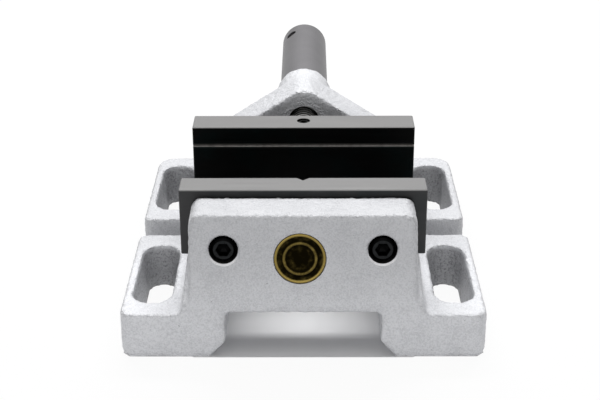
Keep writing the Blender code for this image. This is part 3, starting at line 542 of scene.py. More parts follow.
    def ways(self, shader: Shader) -> NodeSocket:
        """Finds the machined ways.

        Args:
            shader: The casting's shader.

        Returns:
            1 on the ways.
        """
        low, high = WAY_HEIGHT - self.way_reach, WAY_HEIGHT + self.way_reach
        return shader.product(
            shader.band(shader.z, low, high, self.way_blur),
            shader.band(shader.y, *self.way_length, self.end_blur),
            shader.band(shader.x, -self.way_half_width, self.way_half_width, self.end_blur),
        )

    def foot(self, shader: Shader) -> NodeSocket:
        """Returns 1 on the machined foot."""
        return shader.between(shader.z, *self.foot_reach, 1.0, 0.0)


@dataclass(frozen=True)
class JawSteel:
    """Black oxide on a jaw whose top is ground, and whose level groove may carry a painted highlight.

    The groove is the range of heights and the range of stations where the highlight is painted, broken up
    by a streaky pattern.
    """

    name: str
    black: Triple = (0.0025, 0.0026, 0.0026)
    tint: Triple = (0.0015, 0.0035, 0.0035)
    ground: Triple = (0.162, 0.160, 0.159)
    # The pale colour of the highlight painted in the groove.
    groove_glint: Triple = (0.20, 0.19, 0.18)
    groove: tuple[Span, Span] | None = None
    groove_blurs: Span = (0.05 * MM, 0.10 * MM)
    glint_breakup: Pattern = Pattern(1.0, 2.0, 0.6, (300.0, 0.0, 0.0))
    glint_range: Span = (0.2, 0.6)
    glint_shares: Span = (0.5, 1.0)
    cloud: Pattern = Pattern(60.0, 3.0, 0.55)
    cloud_range: Span = (0.4, 0.7)
    lines: Pattern = Pattern(stretch=(25.0, 2800.0, 900.0))
    ground_dark_share: float = 0.86
    ground_from: Span = (62.94 * MM, 63.0 * MM)
    roughness: Span = (0.30, 0.44)
    metallic: float = 0.95

    def build(self) -> Material:
        """Makes the jaw's finish.

        Returns:
            The material.
        """
        shader = Shader(self.name, self.metallic)
        cloud = shader.between(shader.noise(self.cloud), *self.cloud_range)
        lines = shader.noise(self.lines)
        ground = shader.blend(lines, faded(self.ground, self.ground_dark_share), self.ground)
        colour = shader.blend(cloud, self.black, self.tint)
        colour = shader.blend(shader.between(shader.z, *self.ground_from), colour, ground)
        if self.groove is not None:
            bands = zip((shader.z, shader.y), self.groove, self.groove_blurs)
            inside = [shader.band(value, *span, blur) for value, span, blur in bands]
            # Painted highlight: a pale line on the groove's lower flank, as if it reflected the light
            # above.
            glint = shader.between(shader.noise(self.glint_breakup), *self.glint_range, *self.glint_shares)
            colour = shader.blend(shader.product(*inside, glint), colour, self.groove_glint)
        roughness = shader.between(lines, *WIDE, *self.roughness)
        return shader.finish(colour, roughness, shader.relief(lines, *FINE))


@dataclass(frozen=True)
class PlainSteel:
    """Milled or rolled steel with a fine even grain."""

    name: str
    colour: Triple
    roughness: float = 0.4
    metallic: float = 0.9
    grain: Triple = (1400.0, 1400.0, 1400.0)
    cloud: Pattern = Pattern(120.0, 3.0, 0.5)
    grain_share: float = 0.6
    dark_share: float = 0.8
    spread: Span = (-0.06, 0.08)

    def build(self) -> Material:
        """Makes the grained finish.

        Returns:
            The material.
        """
        shader = Shader(self.name, self.metallic)
        grain = shader.noise(Pattern(stretch=self.grain))
        share = shader.mixture(grain, shader.noise(self.cloud), self.grain_share)
        dark = faded(self.colour, self.dark_share)
        colour = shader.blend(shader.between(share, *MIDDLE), dark, self.colour)
        gloss = [self.roughness + part for part in self.spread]
        return shader.finish(colour, shader.between(grain, *WIDE, *gloss), shader.relief(grain, *FINE))


@dataclass(frozen=True)
class TurnedSteel(PlainSteel):
    """Metal turned or ground round the Y axis, with fine lines round it."""

    grain: Triple = (0.0, 2400.0, 0.0)
    cloud: Pattern = Pattern(80.0, 2.0, 0.5)
    grain_share: float = 0.5
    dark_share: float = 0.84
    spread: Span = (-0.05, 0.07)


@dataclass(frozen=True)
class BlackOxide:
    """Black oxide on a screw whose flat face carries a painted highlight, a little greyer."""

    black: Triple = (0.0022, 0.0022, 0.0023)
    # The greyer colour of the highlight painted on the head's flat face.
    glint: Triple = (0.019, 0.020, 0.021)
    rub: str = "rub"
    grain: Pattern = Pattern(900.0)
    face_glint_shares: Span = (0.7, 1.0)
    roughness: Span = (0.24, 0.38)

    def build(self) -> Material:
        """Makes the screws' finish.

        Returns:
            The material.
        """
        shader = Shader("black_oxide", 1.0)
        grain = shader.noise(self.grain)
        # Painted highlight: the head's flat face is made greyer.
        uneven = shader.between(grain, *MIDDLE, *self.face_glint_shares)
        share = shader.math("MULTIPLY", shader.attribute(self.rub), uneven)
        colour = shader.blend(share, self.black, self.glint)
        roughness = shader.between(grain, *MIDDLE, *self.roughness)
        return shader.finish(colour, roughness, shader.relief(grain, *FINE))


@dataclass(frozen=True)
class ThreadSteel:
    """Bright thread crests over roots that are painted near black as shade."""

    crest: Triple = (0.30, 0.295, 0.29)
    # The near-black colour of the shade painted in the thread's roots.
    root: Triple = (0.012, 0.012, 0.012)
    crest_from: Span = (5.6 * MM, 5.95 * MM)
    grain: Pattern = Pattern(900.0)
    dark_share: float = 0.75
    roughness: Span = (0.28, 0.42)
    metallic: float = 0.9

    def build(self) -> Material:
        """Makes the spindle's finish.

        Returns:
            The material.
        """
        shader = Shader("threaded_steel", self.metallic)
        away = shader.from_middle(centre("spindle").z)
        grain = shader.noise(self.grain)
        crest = shader.blend(grain, faded(self.crest, self.dark_share), self.crest)
        # Painted shade: the thread's roots are painted near black.
        colour = shader.blend(shader.between(away, *self.crest_from), self.root, crest)
        return shader.finish(colour, shader.between(grain, *MIDDLE, *self.roughness))


@dataclass(frozen=True)
class AgedBrass:
    """Brass with dark patina in its low rings."""

    rub: Triple = (0.20, 0.148, 0.042)
    dark: Triple = (0.0035, 0.0027, 0.0008)
    patina: str = "patina"
    cloud: Pattern = Pattern(420.0)
    cloud_share: float = 0.5
    roughness: Span = (0.32, 0.55)
    relief: Span = (0.05 * MM, 0.6)

    def build(self) -> Material:
        """Makes the aged brass.

        Returns:
            The material.
        """
        shader = Shader("aged_brass", 1.0)
        cloud = shader.noise(self.cloud)
        uneven = shader.math("MULTIPLY", shader.math("SUBTRACT", cloud, 0.5), self.cloud_share)
        share = shader.math("ADD", shader.attribute(self.patina), uneven)
        colour = shader.blend(shader.between(share, *WIDE), self.rub, self.dark)
        roughness = shader.between(share, *WIDE, *self.roughness)
        return shader.finish(colour, roughness, shader.relief(cloud, *self.relief))


# The front jaw's ground top is a shade darker than the moving jaw's: a painted shade for how the light
# falls on each top.
FRONT_JAW_STEEL = JawSteel(
    "front_jaw_steel",
    black=(0.042, 0.042, 0.043),
    tint=(0.034, 0.036, 0.037),
    ground=(0.147, 0.146, 0.145),
)
MOVING_JAW_STEEL = JawSteel(
    "moving_jaw_steel", groove=((53.7 * MM, 54.55 * MM), (-36.9 * MM, -36.2 * MM))
)
SLEEVE_STEEL = TurnedSteel("satin_sleeve_steel", colour=(0.116, 0.113, 0.119), roughness=0.42)
WASHER_BRONZE = TurnedSteel("turned_bronze", colour=(0.48, 0.33, 0.18), roughness=0.34)
MILLED_STEEL = PlainSteel(
    "milled_steel", colour=(0.40, 0.395, 0.39), roughness=0.36, grain=(60.0, 2400.0, 900.0)
)
SPRING_STEEL = PlainSteel("spring_steel", colour=(0.30, 0.30, 0.31), roughness=0.3)
PIN_STEEL = PlainSteel("ground_pin_steel", colour=(0.55, 0.55, 0.56), roughness=0.25, metallic=1.0)


def added(name: str, data: bpy.types.ID) -> Object:
    """Puts new data into the scene.

    Args:
        name: The object's name.
        data: Its mesh, lamp or camera.

    Returns:
        The new object.
    """
    made = bpy.data.objects.new(name, data)
    bpy.context.scene.collection.objects.link(made)
    return made


def mesh_of(name: str, shape: BMesh) -> Mesh:
    """Makes a mesh of a shape.

    Args:
        name: The mesh's name.
        shape: The shape, which is freed.

    Returns:
        The new mesh.
    """
    mesh = bpy.data.meshes.new(name)
    shape.to_mesh(mesh)
    shape.free()
    return mesh


def shade(mesh: Mesh, angle: float = SMOOTH_ANGLE) -> None:
    """Shades a mesh smooth, but for edges sharper than an angle."""
    mesh.shade_smooth()
    mesh.set_sharp_from_angle(angle=angle)


def piece(shape: BMesh, name: str, finish: Material, angle: float = SMOOTH_ANGLE) -> Object:
    """Turns a shape into an object.

    Args:
        shape: The shape, which is freed.
        name: The piece's name.
        finish: Its material.
        angle: The sharpest edge that is shaded smooth.

    Returns:
        The new object.
    """
    made = added(name, mesh_of(name, shape))
    made.data.materials.append(finish)
    shade(made.data, angle)
    return made


def baked(item: Object) -> Object:
    """Applies an object's modifiers.

    Args:
        item: The object.

    Returns:
        The same object, with a plain mesh.
    """
    graph = bpy.context.evaluated_depsgraph_get()
    mesh = bpy.data.meshes.new_from_object(item.evaluated_get(graph), depsgraph=graph)
    mesh.name = item.name
    item.modifiers.clear()
    item.data = mesh
    return item


def fit(item: Object, body: Body, slot: Slot, *nodes: str) -> None:
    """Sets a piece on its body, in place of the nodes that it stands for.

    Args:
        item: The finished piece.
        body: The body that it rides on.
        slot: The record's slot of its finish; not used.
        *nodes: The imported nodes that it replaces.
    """
    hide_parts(*nodes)
    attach(item, body.value)
    log.info("piece %s: %d faces, rides on %s", item.name, len(item.data.polygons), body.value)


def dress(node: Object, finish: Material) -> None:
    """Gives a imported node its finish.

    Args:
        node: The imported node.
        finish: Its new material.
    """
    node.data.materials.clear()
    node.data.materials.append(finish)
    log.info("node %s: dressed in %s", node.name, finish.name)


def turned(
    shape: BMesh, stand: Matrix, profile: list[tuple[float | list[float], float]], sides: int
) -> list[list[BMVert]]:
    """Adds rings of points round an axis, and the faces between them.

    Args:
        shape: The shape that takes them.
        stand: Where the rings stand: its Z axis is their axis.
        profile: Each ring's radius, or the radius at each of its sides, and its station.
        sides: How many sides the rings have.

    Returns:
        The rings, of which one of no radius is a single point.
    """
    turns = [2 * math.pi * side / sides for side in range(sides)]
    rings: list[list[BMVert]] = []
    for size, station in profile:
        radii = size if isinstance(size, list) else [size] * sides
        points = [(r * math.cos(a), r * math.sin(a), station) for r, a in zip(radii, turns)]
        count = sides if any(radii) else 1
        rings.append([shape.verts.new(stand @ Vector(point)) for point in points[:count]])
    for near, far in zip(rings, rings[1:]):
        for side in range(sides):
            after = (side + 1) % sides
            places = ((near, side), (near, after), (far, after), (far, side))
            corners = [ring[place % len(ring)] for ring, place in places]
            shape.faces.new(tuple(dict.fromkeys(corners)))
    return rings


@dataclass(frozen=True)
class Bore:
    """A round hole that is machined into the casting, whose mouth may flare."""

    start: Vector
    axis: Vector
    diameter: float
    length: float
    sides: int = 96
    flare: float = 0.0

    def rod(self, spare: float = 0.0) -> BMesh:
        """Makes the rod that fills the hole.

        Args:
            spare: How much wider it is.

        Returns:
            The rod's shape.
        """
        shape = bmesh.new()
        turn = UP.rotation_difference(self.axis).to_matrix().to_4x4()
        middle = self.start + self.axis * self.length / 2
        radius = (self.diameter + spare) / 2
        bmesh.ops.create_cone(
            shape,
            cap_ends=True,
            segments=self.sides,
            radius1=radius + self.flare,
            radius2=radius,
            depth=self.length,
            matrix=Matrix.Translation(middle) @ turn,
        )
        return shape


@dataclass
class CastBody:
    """The one-piece casting, with the skin of a sand casting and machined holes."""

    finish: Material
    voxel: float = 0.95 * MM
    rounding: float = 0.5
    relief: float = 0.40 * MM
    lump: float = 1.9 * MM
    fine_lump_share: float = 0.6
    lump_ratio: float = 1.9
    lump_level: float = 0.4
    edge_relief: float = 0.55 * MM
    edge_bend: Span = (120.0, 420.0)
    dent: float = 2.3 * MM
    dent_level: float = 0.5
    machined_reach: float = 0.4 * MM
    level: float = 0.8
    sharp_angle: float = 50 * DEGREE
    overrun: float = 5.0 * MM
    clearance: float = 0.3 * MM
    counterbore: float = 11.6 * MM
    counterbore_depth: float = 10.3 * MM
    chamfer: float = 0.85 * MM
    screw_hole: float = 6.6 * MM
    screw_hole_sides: int = 48
    pin_hole_sides: int = 32
    upright_thickness: float = 23.6 * MM
    front: float = -129.8 * MM
    lean_foot: Span = (-129.7 * MM, 23.6 * MM)
    lean_top: Span = (-124.2 * MM, 60.7 * MM)
    badge_depth: float = 1.7 * MM
    hub_front: float = 9.2 * MM
    hub_rear: float = 49.7 * MM
    hub_wall: float = 4.0 * MM
    hub_mouth: float = 14.8 * MM
    hub_bore: float = 19.6 * MM
    travel: Span = (-55.7 * MM, 18.1 * MM)
    running_gaps: dict[str, Triple] = field(
        default_factory=lambda: {
            "guide_block": (0.2 * MM, 0.4 * MM, 0.2 * MM),
            "keeper_plate": (0.3 * MM, 0.4 * MM, 0.25 * MM),
        }
    )

    def build(self) -> Object:
        """Makes the casting.

        Returns:
            The finished piece.
        """
        made = self.solid()
        self.skin(made)
        for bore in self.bores():
            self.cut(made, bore.rod())
        for node, spare in self.running_gaps.items():
            self.cut(made, self.run(node, Vector(spare)))
        made.data.materials.clear()
        made.data.materials.append(self.finish)
        shade(made.data, self.sharp_angle)
        fit(made, Body.CASTING, Slot.PAINT, "base_casting")
        return made

    def lean(self) -> Vector:
        """Returns the outward direction of the leaning front face."""
        back, rise = (top - foot for top, foot in zip(self.lean_top, self.lean_foot))
        return Vector((0, -rise, back)).normalized()

    def face_station(self, height: float) -> float:
        """Returns where the leaning front face lies at a height."""
        rise = (height - self.lean_foot[1]) / (self.lean_top[1] - self.lean_foot[1])
        return self.lean_foot[0] + rise * (self.lean_top[0] - self.lean_foot[0])

    def badge_seat(self, before: float, depth: float) -> Bore:
        """Makes the badge's round seat in the leaning face.

        Args:
            before: How far outside the face it starts.
            depth: How deep it goes into the face.

        Returns:
            The seat, from its mouth inwards.
        """
        low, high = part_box("badge_plate")
        middle = (low + high) / 2
        mouth = Vector((middle.x, self.face_station(middle.z), middle.z))
        width = high.x - low.x + 2 * self.clearance
        return Bore(mouth + self.lean() * before, -self.lean(), width, depth + before)

    def bores(self) -> list[Bore]:
        """Lists the machined holes.

        Returns:
            The holes, each from its mouth inwards.
        """
        found = []
        before = BACK * self.overrun
        for side in SIDES:
            place = centre(f"front_jaw_screw_{side}")
            mouth = Vector((place.x, self.front, place.z)) - before
            found.append(Bore(mouth, BACK, self.counterbore, self.counterbore_depth + self.overrun))
            through = self.upright_thickness + 2 * self.overrun
            found.append(Bore(mouth, BACK, self.screw_hole, through, self.screw_hole_sides))
            rim = Vector((place.x, self.face_station(place.z), place.z)) + self.lean() * self.chamfer
            width = 2 * self.chamfer
            found.append(Bore(rim, -self.lean(), self.counterbore, width, flare=width))
        found.append(self.badge_seat(self.overrun, self.badge_depth))
        hub = Vector((0, self.hub_front, centre("spindle").z))
        found.append(Bore(hub - before, BACK, self.hub_mouth, self.hub_wall + 2 * self.overrun))
        length = self.hub_rear - self.hub_front - self.hub_wall
        found.append(Bore(hub + BACK * self.hub_wall, BACK, self.hub_bore, length + self.overrun))
        for side in SIDES:
            low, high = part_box(f"sleeve_pin_{side}")
            foot = Vector(((low.x + high.x) / 2, (low.y + high.y) / 2, low.z))
            width = high.x - low.x + 2 * self.clearance
            depth = high.z - low.z + self.overrun + self.clearance
            found.append(Bore(foot - UP * self.overrun, UP, width, depth, self.pin_hole_sides))
        return found

    def plugs(self) -> list[Bore]:
        """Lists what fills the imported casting's holes up to its skin.

        Returns:
            The holes to fill.
        """
        found = []
        for side in SIDES:
            place = centre(f"front_jaw_screw_{side}")
            mouth = Vector((place.x, self.lean_foot[0], place.z))
            found.append(Bore(mouth, BACK, self.counterbore, self.upright_thickness))
        found.append(self.badge_seat(self.voxel, self.badge_depth + self.voxel))
        hub = Vector((0, self.hub_front, centre("spindle").z))
        found.append(Bore(hub, BACK, self.hub_bore, self.hub_rear - self.hub_front))
        return found

    def solid(self) -> Object:
        """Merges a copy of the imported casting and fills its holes.

        Returns:
            The filled casting.
        """
        shape = bmesh.new()
        shape.from_mesh(bpy.data.objects["base_casting"].data)
        bmesh.ops.remove_doubles(shape, verts=shape.verts, dist=WELD)
        face = Vector((0, *self.lean_foot))
        for plug in self.plugs():
            rod = plug.rod(spare=self.voxel)
            if plug.start.y < self.lean_top[0]:
                parts = rod.verts[:] + rod.edges[:] + rod.faces[:]
                cut = bmesh.ops.bisect_plane(
                    rod, geom=parts, plane_co=face, plane_no=self.lean(), clear_outer=True
                )
                rim = [part for part in cut["geom_cut"] if isinstance(part, BMEdge)]
                bmesh.ops.contextual_create(rod, geom=rim)
            mesh = mesh_of("plug", rod)
            shape.from_mesh(mesh)
            bpy.data.meshes.remove(mesh)
        return piece(shape, "cast_body", self.finish)

    def skin(self, made: Object) -> None:
        """Rounds the casting's edges and roughens its skin.

        Args:
            made: The filled casting.
        """
        remesh = made.modifiers.new("skin", "REMESH")
        remesh.mode = "VOXEL"
        remesh.voxel_size = self.voxel
        smooth = made.modifiers.new("rounding", "SMOOTH")
        smooth.factor = self.rounding
        smooth.iterations = 1
        mesh = baked(made).data
        low, high = (np.array(corner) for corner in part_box("base_casting"))
        place = np.empty(len(mesh.vertices) * 3)
        mesh.vertices.foreach_get("co", place)
        place = place.reshape(-1, 3)
        out = np.array([v.normal for v in mesh.vertices])
        depth = np.array([self.depth(Vector(point)) for point in place])
        edge = self.edges(mesh, place, out)
        depth += self.edge_relief * edge * np.array([self.dents(Vector(point)) for point in place])
        layer = mesh.attributes.new(CastPaint.skin, "FLOAT", "POINT")
        layer.data.foreach_set("value", edge.astype(np.float32))
        place -= out * (depth * self.painted(place, out))[:, None]
        np.clip(place, low, high, out=place)
        mesh.vertices.foreach_set("co", place.ravel())
        mesh.update()

    def depth(self, point: Vector) -> float:
        """Finds how deep the cast skin is sunk at a point.

        Args:
            point: A place on the casting.

        Returns:
            The depth in metres.
        """
        fine = self.fine_lump_share * noise.noise(point * self.lump_ratio / self.lump)
        lumps = self.lump_level + (1 - self.lump_level) * (noise.noise(point / self.lump) + fine)
        return self.relief * min(max(lumps, 0.0), 1.0)

    def dents(self, point: Vector) -> float:
        """Returns how deep an edge is dented at a point, from 0 to 1."""
        return min(max(self.dent_level + noise.noise(point / self.dent), 0.0), 1.0)

    def edges(self, mesh: Mesh, place: np.ndarray, out: np.ndarray) -> np.ndarray:
        """Finds the casting's outer edges.

        Args:
            mesh: The casting's mesh.
            place: Its vertices' places.
            out: Their outward directions.

        Returns:
            A share for each vertex: 0 on flat and hollow parts, 1 on the tightest edges.
        """
        ends = np.empty(len(mesh.edges) * 2, dtype=np.int64)
        mesh.edges.foreach_get("vertices", ends)
        first, second = ends.reshape(-1, 2).T
        step = place[first] - place[second]
        bend = ((out[first] - out[second]) * step).sum(axis=1) / (step * step).sum(axis=1)
        count = len(place)
        total = np.bincount(first, bend, count) + np.bincount(second, bend, count)
        share = total / (np.bincount(first, None, count) + np.bincount(second, None, count))
        flat, tight = self.edge_bend
        return np.clip((share - flat) / (tight - flat), 0.0, 1.0)

    def painted(self, place: np.ndarray, out: np.ndarray) -> np.ndarray:
        """Finds where the casting keeps its cast skin.

        Args:
            place: The vertices' places.
            out: Their outward directions.

        Returns:
            1 for each vertex of the skin, and 0 for each that is machined.
        """
        foot = place[:, 2] < self.machined_reach
        ways = (abs(place[:, 2] - WAY_HEIGHT) < self.machined_reach) & (out[:, 2] > self.level)
        return 1.0 - (foot | ways)

    def run(self, node: str, spare: Vector) -> BMesh:
        """Makes the clear space that a sliding node needs.

        Args:
            node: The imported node.
            spare: How much room it has on each side.

        Returns:
            A box from its closed place to its open place.
        """
        low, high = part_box(node)
        low = low - spare + BACK * self.travel[0]
        high = high + spare + BACK * self.travel[1]
        shape = bmesh.new()
        place = Matrix.Translation((low + high) / 2) @ Matrix.Diagonal((*(high - low), 1.0))
        bmesh.ops.create_cube(shape, size=1.0, matrix=place)
        return shape

    def cut(self, made: Object, tool: BMesh) -> None:
        """Cuts a shape out of the casting.

        Args:
            made: The casting.
            tool: The shape, which is freed.
        """
        mesh = mesh_of("bore", tool)
        cutter = added("bore", mesh)
        boolean = made.modifiers.new("cut", "BOOLEAN")
        boolean.operation = "DIFFERENCE"
        boolean.solver = "MANIFOLD"
        boolean.object = cutter
        baked(made)
        bpy.data.objects.remove(cutter)
        bpy.data.meshes.remove(mesh)


class GeometryTree(Bench):
    """A geometry tree with named inputs."""

    def __init__(self, name: str) -> None:
        """Starts the tree.

        Args:
            name: The tree's name.
        """
        super().__init__(bpy.data.node_groups.new(name, "GeometryNodeTree"))
        self.tree.interface.new_socket("Geometry", in_out="OUTPUT", socket_type="NodeSocketGeometry")
        self.entry = self.tree.nodes.new("NodeGroupInput")
        self.exit = self.tree.nodes.new("NodeGroupOutput")
        self.names: dict[str, str] = {}

    def input(self, name: str, kind: str = "NodeSocketFloat") -> NodeSocket:
        """Adds a named input.

        Args:
            name: The input's name.
            kind: The type of its socket.

        Returns:
            Its socket in the tree.
        """
        made = self.tree.interface.new_socket(name, in_out="INPUT", socket_type=kind)
        self.names[name] = made.identifier
        return self.entry.outputs[name]

    def end(self, shape: NodeSocket, finish: Material) -> None:
        """Makes the tree's result real and gives it a finish.

        Args:
            shape: The result.
            finish: Its material.
        """
        real = self.node("GeometryNodeRealizeInstances", {0: shape})
        feeds = {"Geometry": real.outputs[0], "Material": finish}
        painted = self.node("GeometryNodeSetMaterial", feeds)
        self.feed(self.exit.inputs[0], painted.outputs[0])

    def grow(self, name: str, values: dict[str, object]) -> Object:
        """Runs the tree once.

        Args:
            name: The new object's name.
            values: What goes into the named inputs.

        Returns:
            An object with the result as its plain mesh.
        """
        made = added(name, bpy.data.meshes.new(name))
        modifier = made.modifiers.new(name, "NODES")
        modifier.node_group = self.tree
        for key, value in values.items():
            modifier[self.names[key]] = value
        return baked(made)


@dataclass
class Spindle:
    """The spindle: a left-handed trapezoidal thread with a nose and a chamfered tip."""

    finish: Material
    pitch: float = 3.0 * MM
    root_radius: float = 4.3 * MM
    nose_radius: float = 4.7 * MM
    nose_length: float = 10.3 * MM
    nose_chamfer: float = 0.8 * MM
    nose_overlap: float = 0.2 * MM
    tip_length: float = 1.6 * MM
    tip_radius: float = 3.6 * MM
    tip_end_radius: float = 5.0 * MM
    sides: int = 48
    steps: int = 8

    def build(self) -> Object:
        """Makes the threaded spindle.

        Returns:
            The finished piece.
        """
        low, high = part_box("spindle")
        start = low.y + self.nose_length
        length = high.y - start
        tree = GeometryTree("left_hand_thread")
        self.lay(tree)
        values = {
            "Rows": math.ceil((length / self.pitch + 2) * self.steps),
            "Crest Radius": (high.x - low.x) / 2,
            "Root Radius": self.root_radius,
            "Pitch": self.pitch,
            "Length": length,
        }
        made = tree.grow("threaded_spindle", values)
        shape = bmesh.new()
        shape.from_mesh(made.data)
        axis = Vector((0, start, (low.z + high.z) / 2))
        bmesh.ops.translate(shape, verts=shape.verts, vec=axis)
        rim = [edge for edge in shape.edges if edge.is_boundary]
        bmesh.ops.holes_fill(shape, edges=rim, sides=0)
        nose = [
            (0.0, -self.nose_length),
            (self.nose_radius - self.nose_chamfer, -self.nose_length),
            (self.nose_radius, self.nose_chamfer - self.nose_length),
            (self.nose_radius, self.nose_overlap),
            (0.0, self.nose_overlap),
        ]
        stand = Matrix.Translation(axis) @ UP.rotation_difference(BACK).to_matrix().to_4x4()
        turned(shape, stand, nose, self.sides)
        bmesh.ops.recalc_face_normals(shape, faces=shape.faces)
        shape.to_mesh(made.data)
        shape.free()
        shade(made.data)
        fit(made, Body.JAW, Slot.BRIGHT, "spindle")
        return made

    def lay(self, tree: GeometryTree) -> None:
        """Lays out the thread's tree: a grid that is rolled up and sheared by one pitch.

        Args:
            tree: The empty tree.
        """
        rows = tree.input("Rows", "NodeSocketInt")
        names = ("Crest Radius", "Root Radius", "Pitch", "Length")
        crest, root, pitch, length = (tree.input(name) for name in names)
        feeds = {"Size X": 1.0, "Size Y": 1.0, "Vertices X": self.sides + 1}
        grid = tree.node("GeometryNodeMeshGrid", feeds)
        tree.feed(grid.inputs["Vertices Y"], tree.math("ADD", rows, 1.0))
        place = tree.node("GeometryNodeInputPosition").outputs[0]
        apart = tree.node("ShaderNodeSeparateXYZ", {0: place}).outputs
        share = tree.math("ADD", apart[0], 0.5)
        row = tree.math("MULTIPLY", tree.math("ADD", apart[1], 0.5), rows)
        turn = tree.math("MULTIPLY", share, 2 * math.pi)
        wound = tree.math("DIVIDE", row, float(self.steps))
        advance = tree.math("SUBTRACT", tree.math("SUBTRACT", wound, share), 0.5)
        along = tree.math("MULTIPLY", advance, pitch)
        along = tree.math("MINIMUM", tree.math("MAXIMUM", along, 0.0), length)
        phase = tree.math("FRACT", tree.math("ADD", wound, 0.5 / self.steps))
        high = tree.math("GREATER_THAN", phase, 0.5)
        radius = tree.math("MULTIPLY_ADD", high, tree.math("SUBTRACT", crest, root), root)
        slope = (self.tip_end_radius - self.tip_radius) / self.tip_length
        tail = tree.math("SUBTRACT", length, along)
        radius = tree.math("MINIMUM", radius, tree.math("MULTIPLY_ADD", tail, slope, self.tip_radius))
        across = tree.math("MULTIPLY", radius, tree.math("SINE", turn))
        above = tree.math("MULTIPLY", radius, tree.math("COSINE", turn))
        moved = tree.node("ShaderNodeCombineXYZ", {0: across, 1: along, 2: above})
        feeds = {"Geometry": grid.outputs["Mesh"], "Position": moved.outputs[0]}
        rolled = tree.node("GeometryNodeSetPosition", feeds)
        feeds = {"Geometry": rolled.outputs[0], "Distance": WELD}
        tree.end(tree.node("GeometryNodeMergeByDistance", feeds).outputs[0], self.finish)


@dataclass
class CapScrews:
    """A left and a right socket cap screw with knurled heads.

    The glint rings are the two that bound the flat face between the head's chamfer and its socket, where a
    highlight is painted.
    """

    finish: Material
    stem: str
    body: Body
    axis: Vector
    head_height: float = 6.0 * MM
    shank_radius: float = 3.0 * MM
    knurl_depth: float = 0.16 * MM
    knurls: int = 48
    sides_of_knurl: int = 4
    chamfer: float = 0.9 * MM
    flats: float = 5.0 * MM
    socket_depth: float = 3.2 * MM
    socket_cone_share: float = 0.5
    tip_chamfer: float = 0.7 * MM
    glint_rings: tuple[int, int] = (8, 9)

    def build(self) -> Object:
        """Makes both screws as one piece.

        Returns:
            The finished piece.
        """
        nodes = [f"{self.stem}_{side}" for side in SIDES]
        first, second = (self.seat(node) for node in nodes)
        low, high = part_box(nodes[0])
        length = abs((high - low).dot(self.axis))
        form = piece(self.screw(length, (high.x - low.x) / 2), f"{self.stem}_form", self.finish)
        tree = GeometryTree("screw_pair")
        feeds = {
            "Count": 2,
            "Start Location": tree.input("Start", "NodeSocketVector"),
            "Offset": tree.input("Step", "NodeSocketVector"),
        }
        line = tree.node("GeometryNodeMeshLine", feeds)
        feeds = {"Object": tree.input("Form", "NodeSocketObject")}
        shape = tree.node("GeometryNodeObjectInfo", feeds).outputs["Geometry"]
        feeds = {"Points": line.outputs[0], "Instance": shape}
        tree.end(tree.node("GeometryNodeInstanceOnPoints", feeds).outputs[0], self.finish)
        made = tree.grow(f"{self.stem}s", {"Start": first, "Step": second - first, "Form": form})
        bpy.data.objects.remove(form)
        fit(made, self.body, Slot.SCREW, *nodes)
        return made

    def seat(self, node: str) -> Vector:
        """Returns where the underside of a packed screw's head lies."""
        low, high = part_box(node)
        return (low + high) / 2 + self.axis * (abs((high - low).dot(self.axis)) / 2 - self.head_height)

    def screw(self, length: float, radius: float) -> BMesh:
        """Makes one screw, with its seat at the origin.

        Args:
            length: Its whole length.
            radius: The radius of its head.

        Returns:
            The screw's shape.
        """
        count = self.knurls * self.sides_of_knurl
        sixth = math.pi / 3
        turns = [2 * math.pi * side / count for side in range(count)]
        knurled = [radius - self.knurl_depth * (side % self.sides_of_knurl == 0) for side in range(count)]

        def hexagon(apothem: float) -> list[float]:
            """Returns a hexagonal ring's radii."""
            return [apothem / math.cos(turn % sixth - sixth / 2) for turn in turns]

        top, shank = self.head_height, length - self.head_height
        face, socket = radius - self.chamfer, self.flats / 2
        floor = top - self.socket_depth
        profile = [
            (self.shank_radius - self.tip_chamfer, -shank),
            (self.shank_radius, self.tip_chamfer - shank),
            (self.shank_radius, 0.0),
            (radius - self.knurl_depth, 0.0),
            (knurled, self.knurl_depth),
            (knurled, top - self.chamfer - self.knurl_depth),
            (radius - self.knurl_depth, top - self.chamfer),
            (face, top),
            (face - self.knurl_depth, top),
            (hexagon(socket + 2 * self.knurl_depth), top),
            (hexagon(socket + self.knurl_depth), top),
            (hexagon(socket), top - self.knurl_depth),
            (hexagon(socket), floor),
            (0.0, floor - socket * self.socket_cone_share),
        ]
        shape = bmesh.new()
        layer = shape.verts.layers.float.new(BlackOxide.rub)
        stand = UP.rotation_difference(self.axis).to_matrix().to_4x4()
        rings = turned(shape, stand, profile, count)
        for index in self.glint_rings:
            for point in rings[index]:
                point[layer] = 1.0
        shape.faces.new(rings[0])
        bmesh.ops.recalc_face_normals(shape, faces=shape.faces)
        return shape


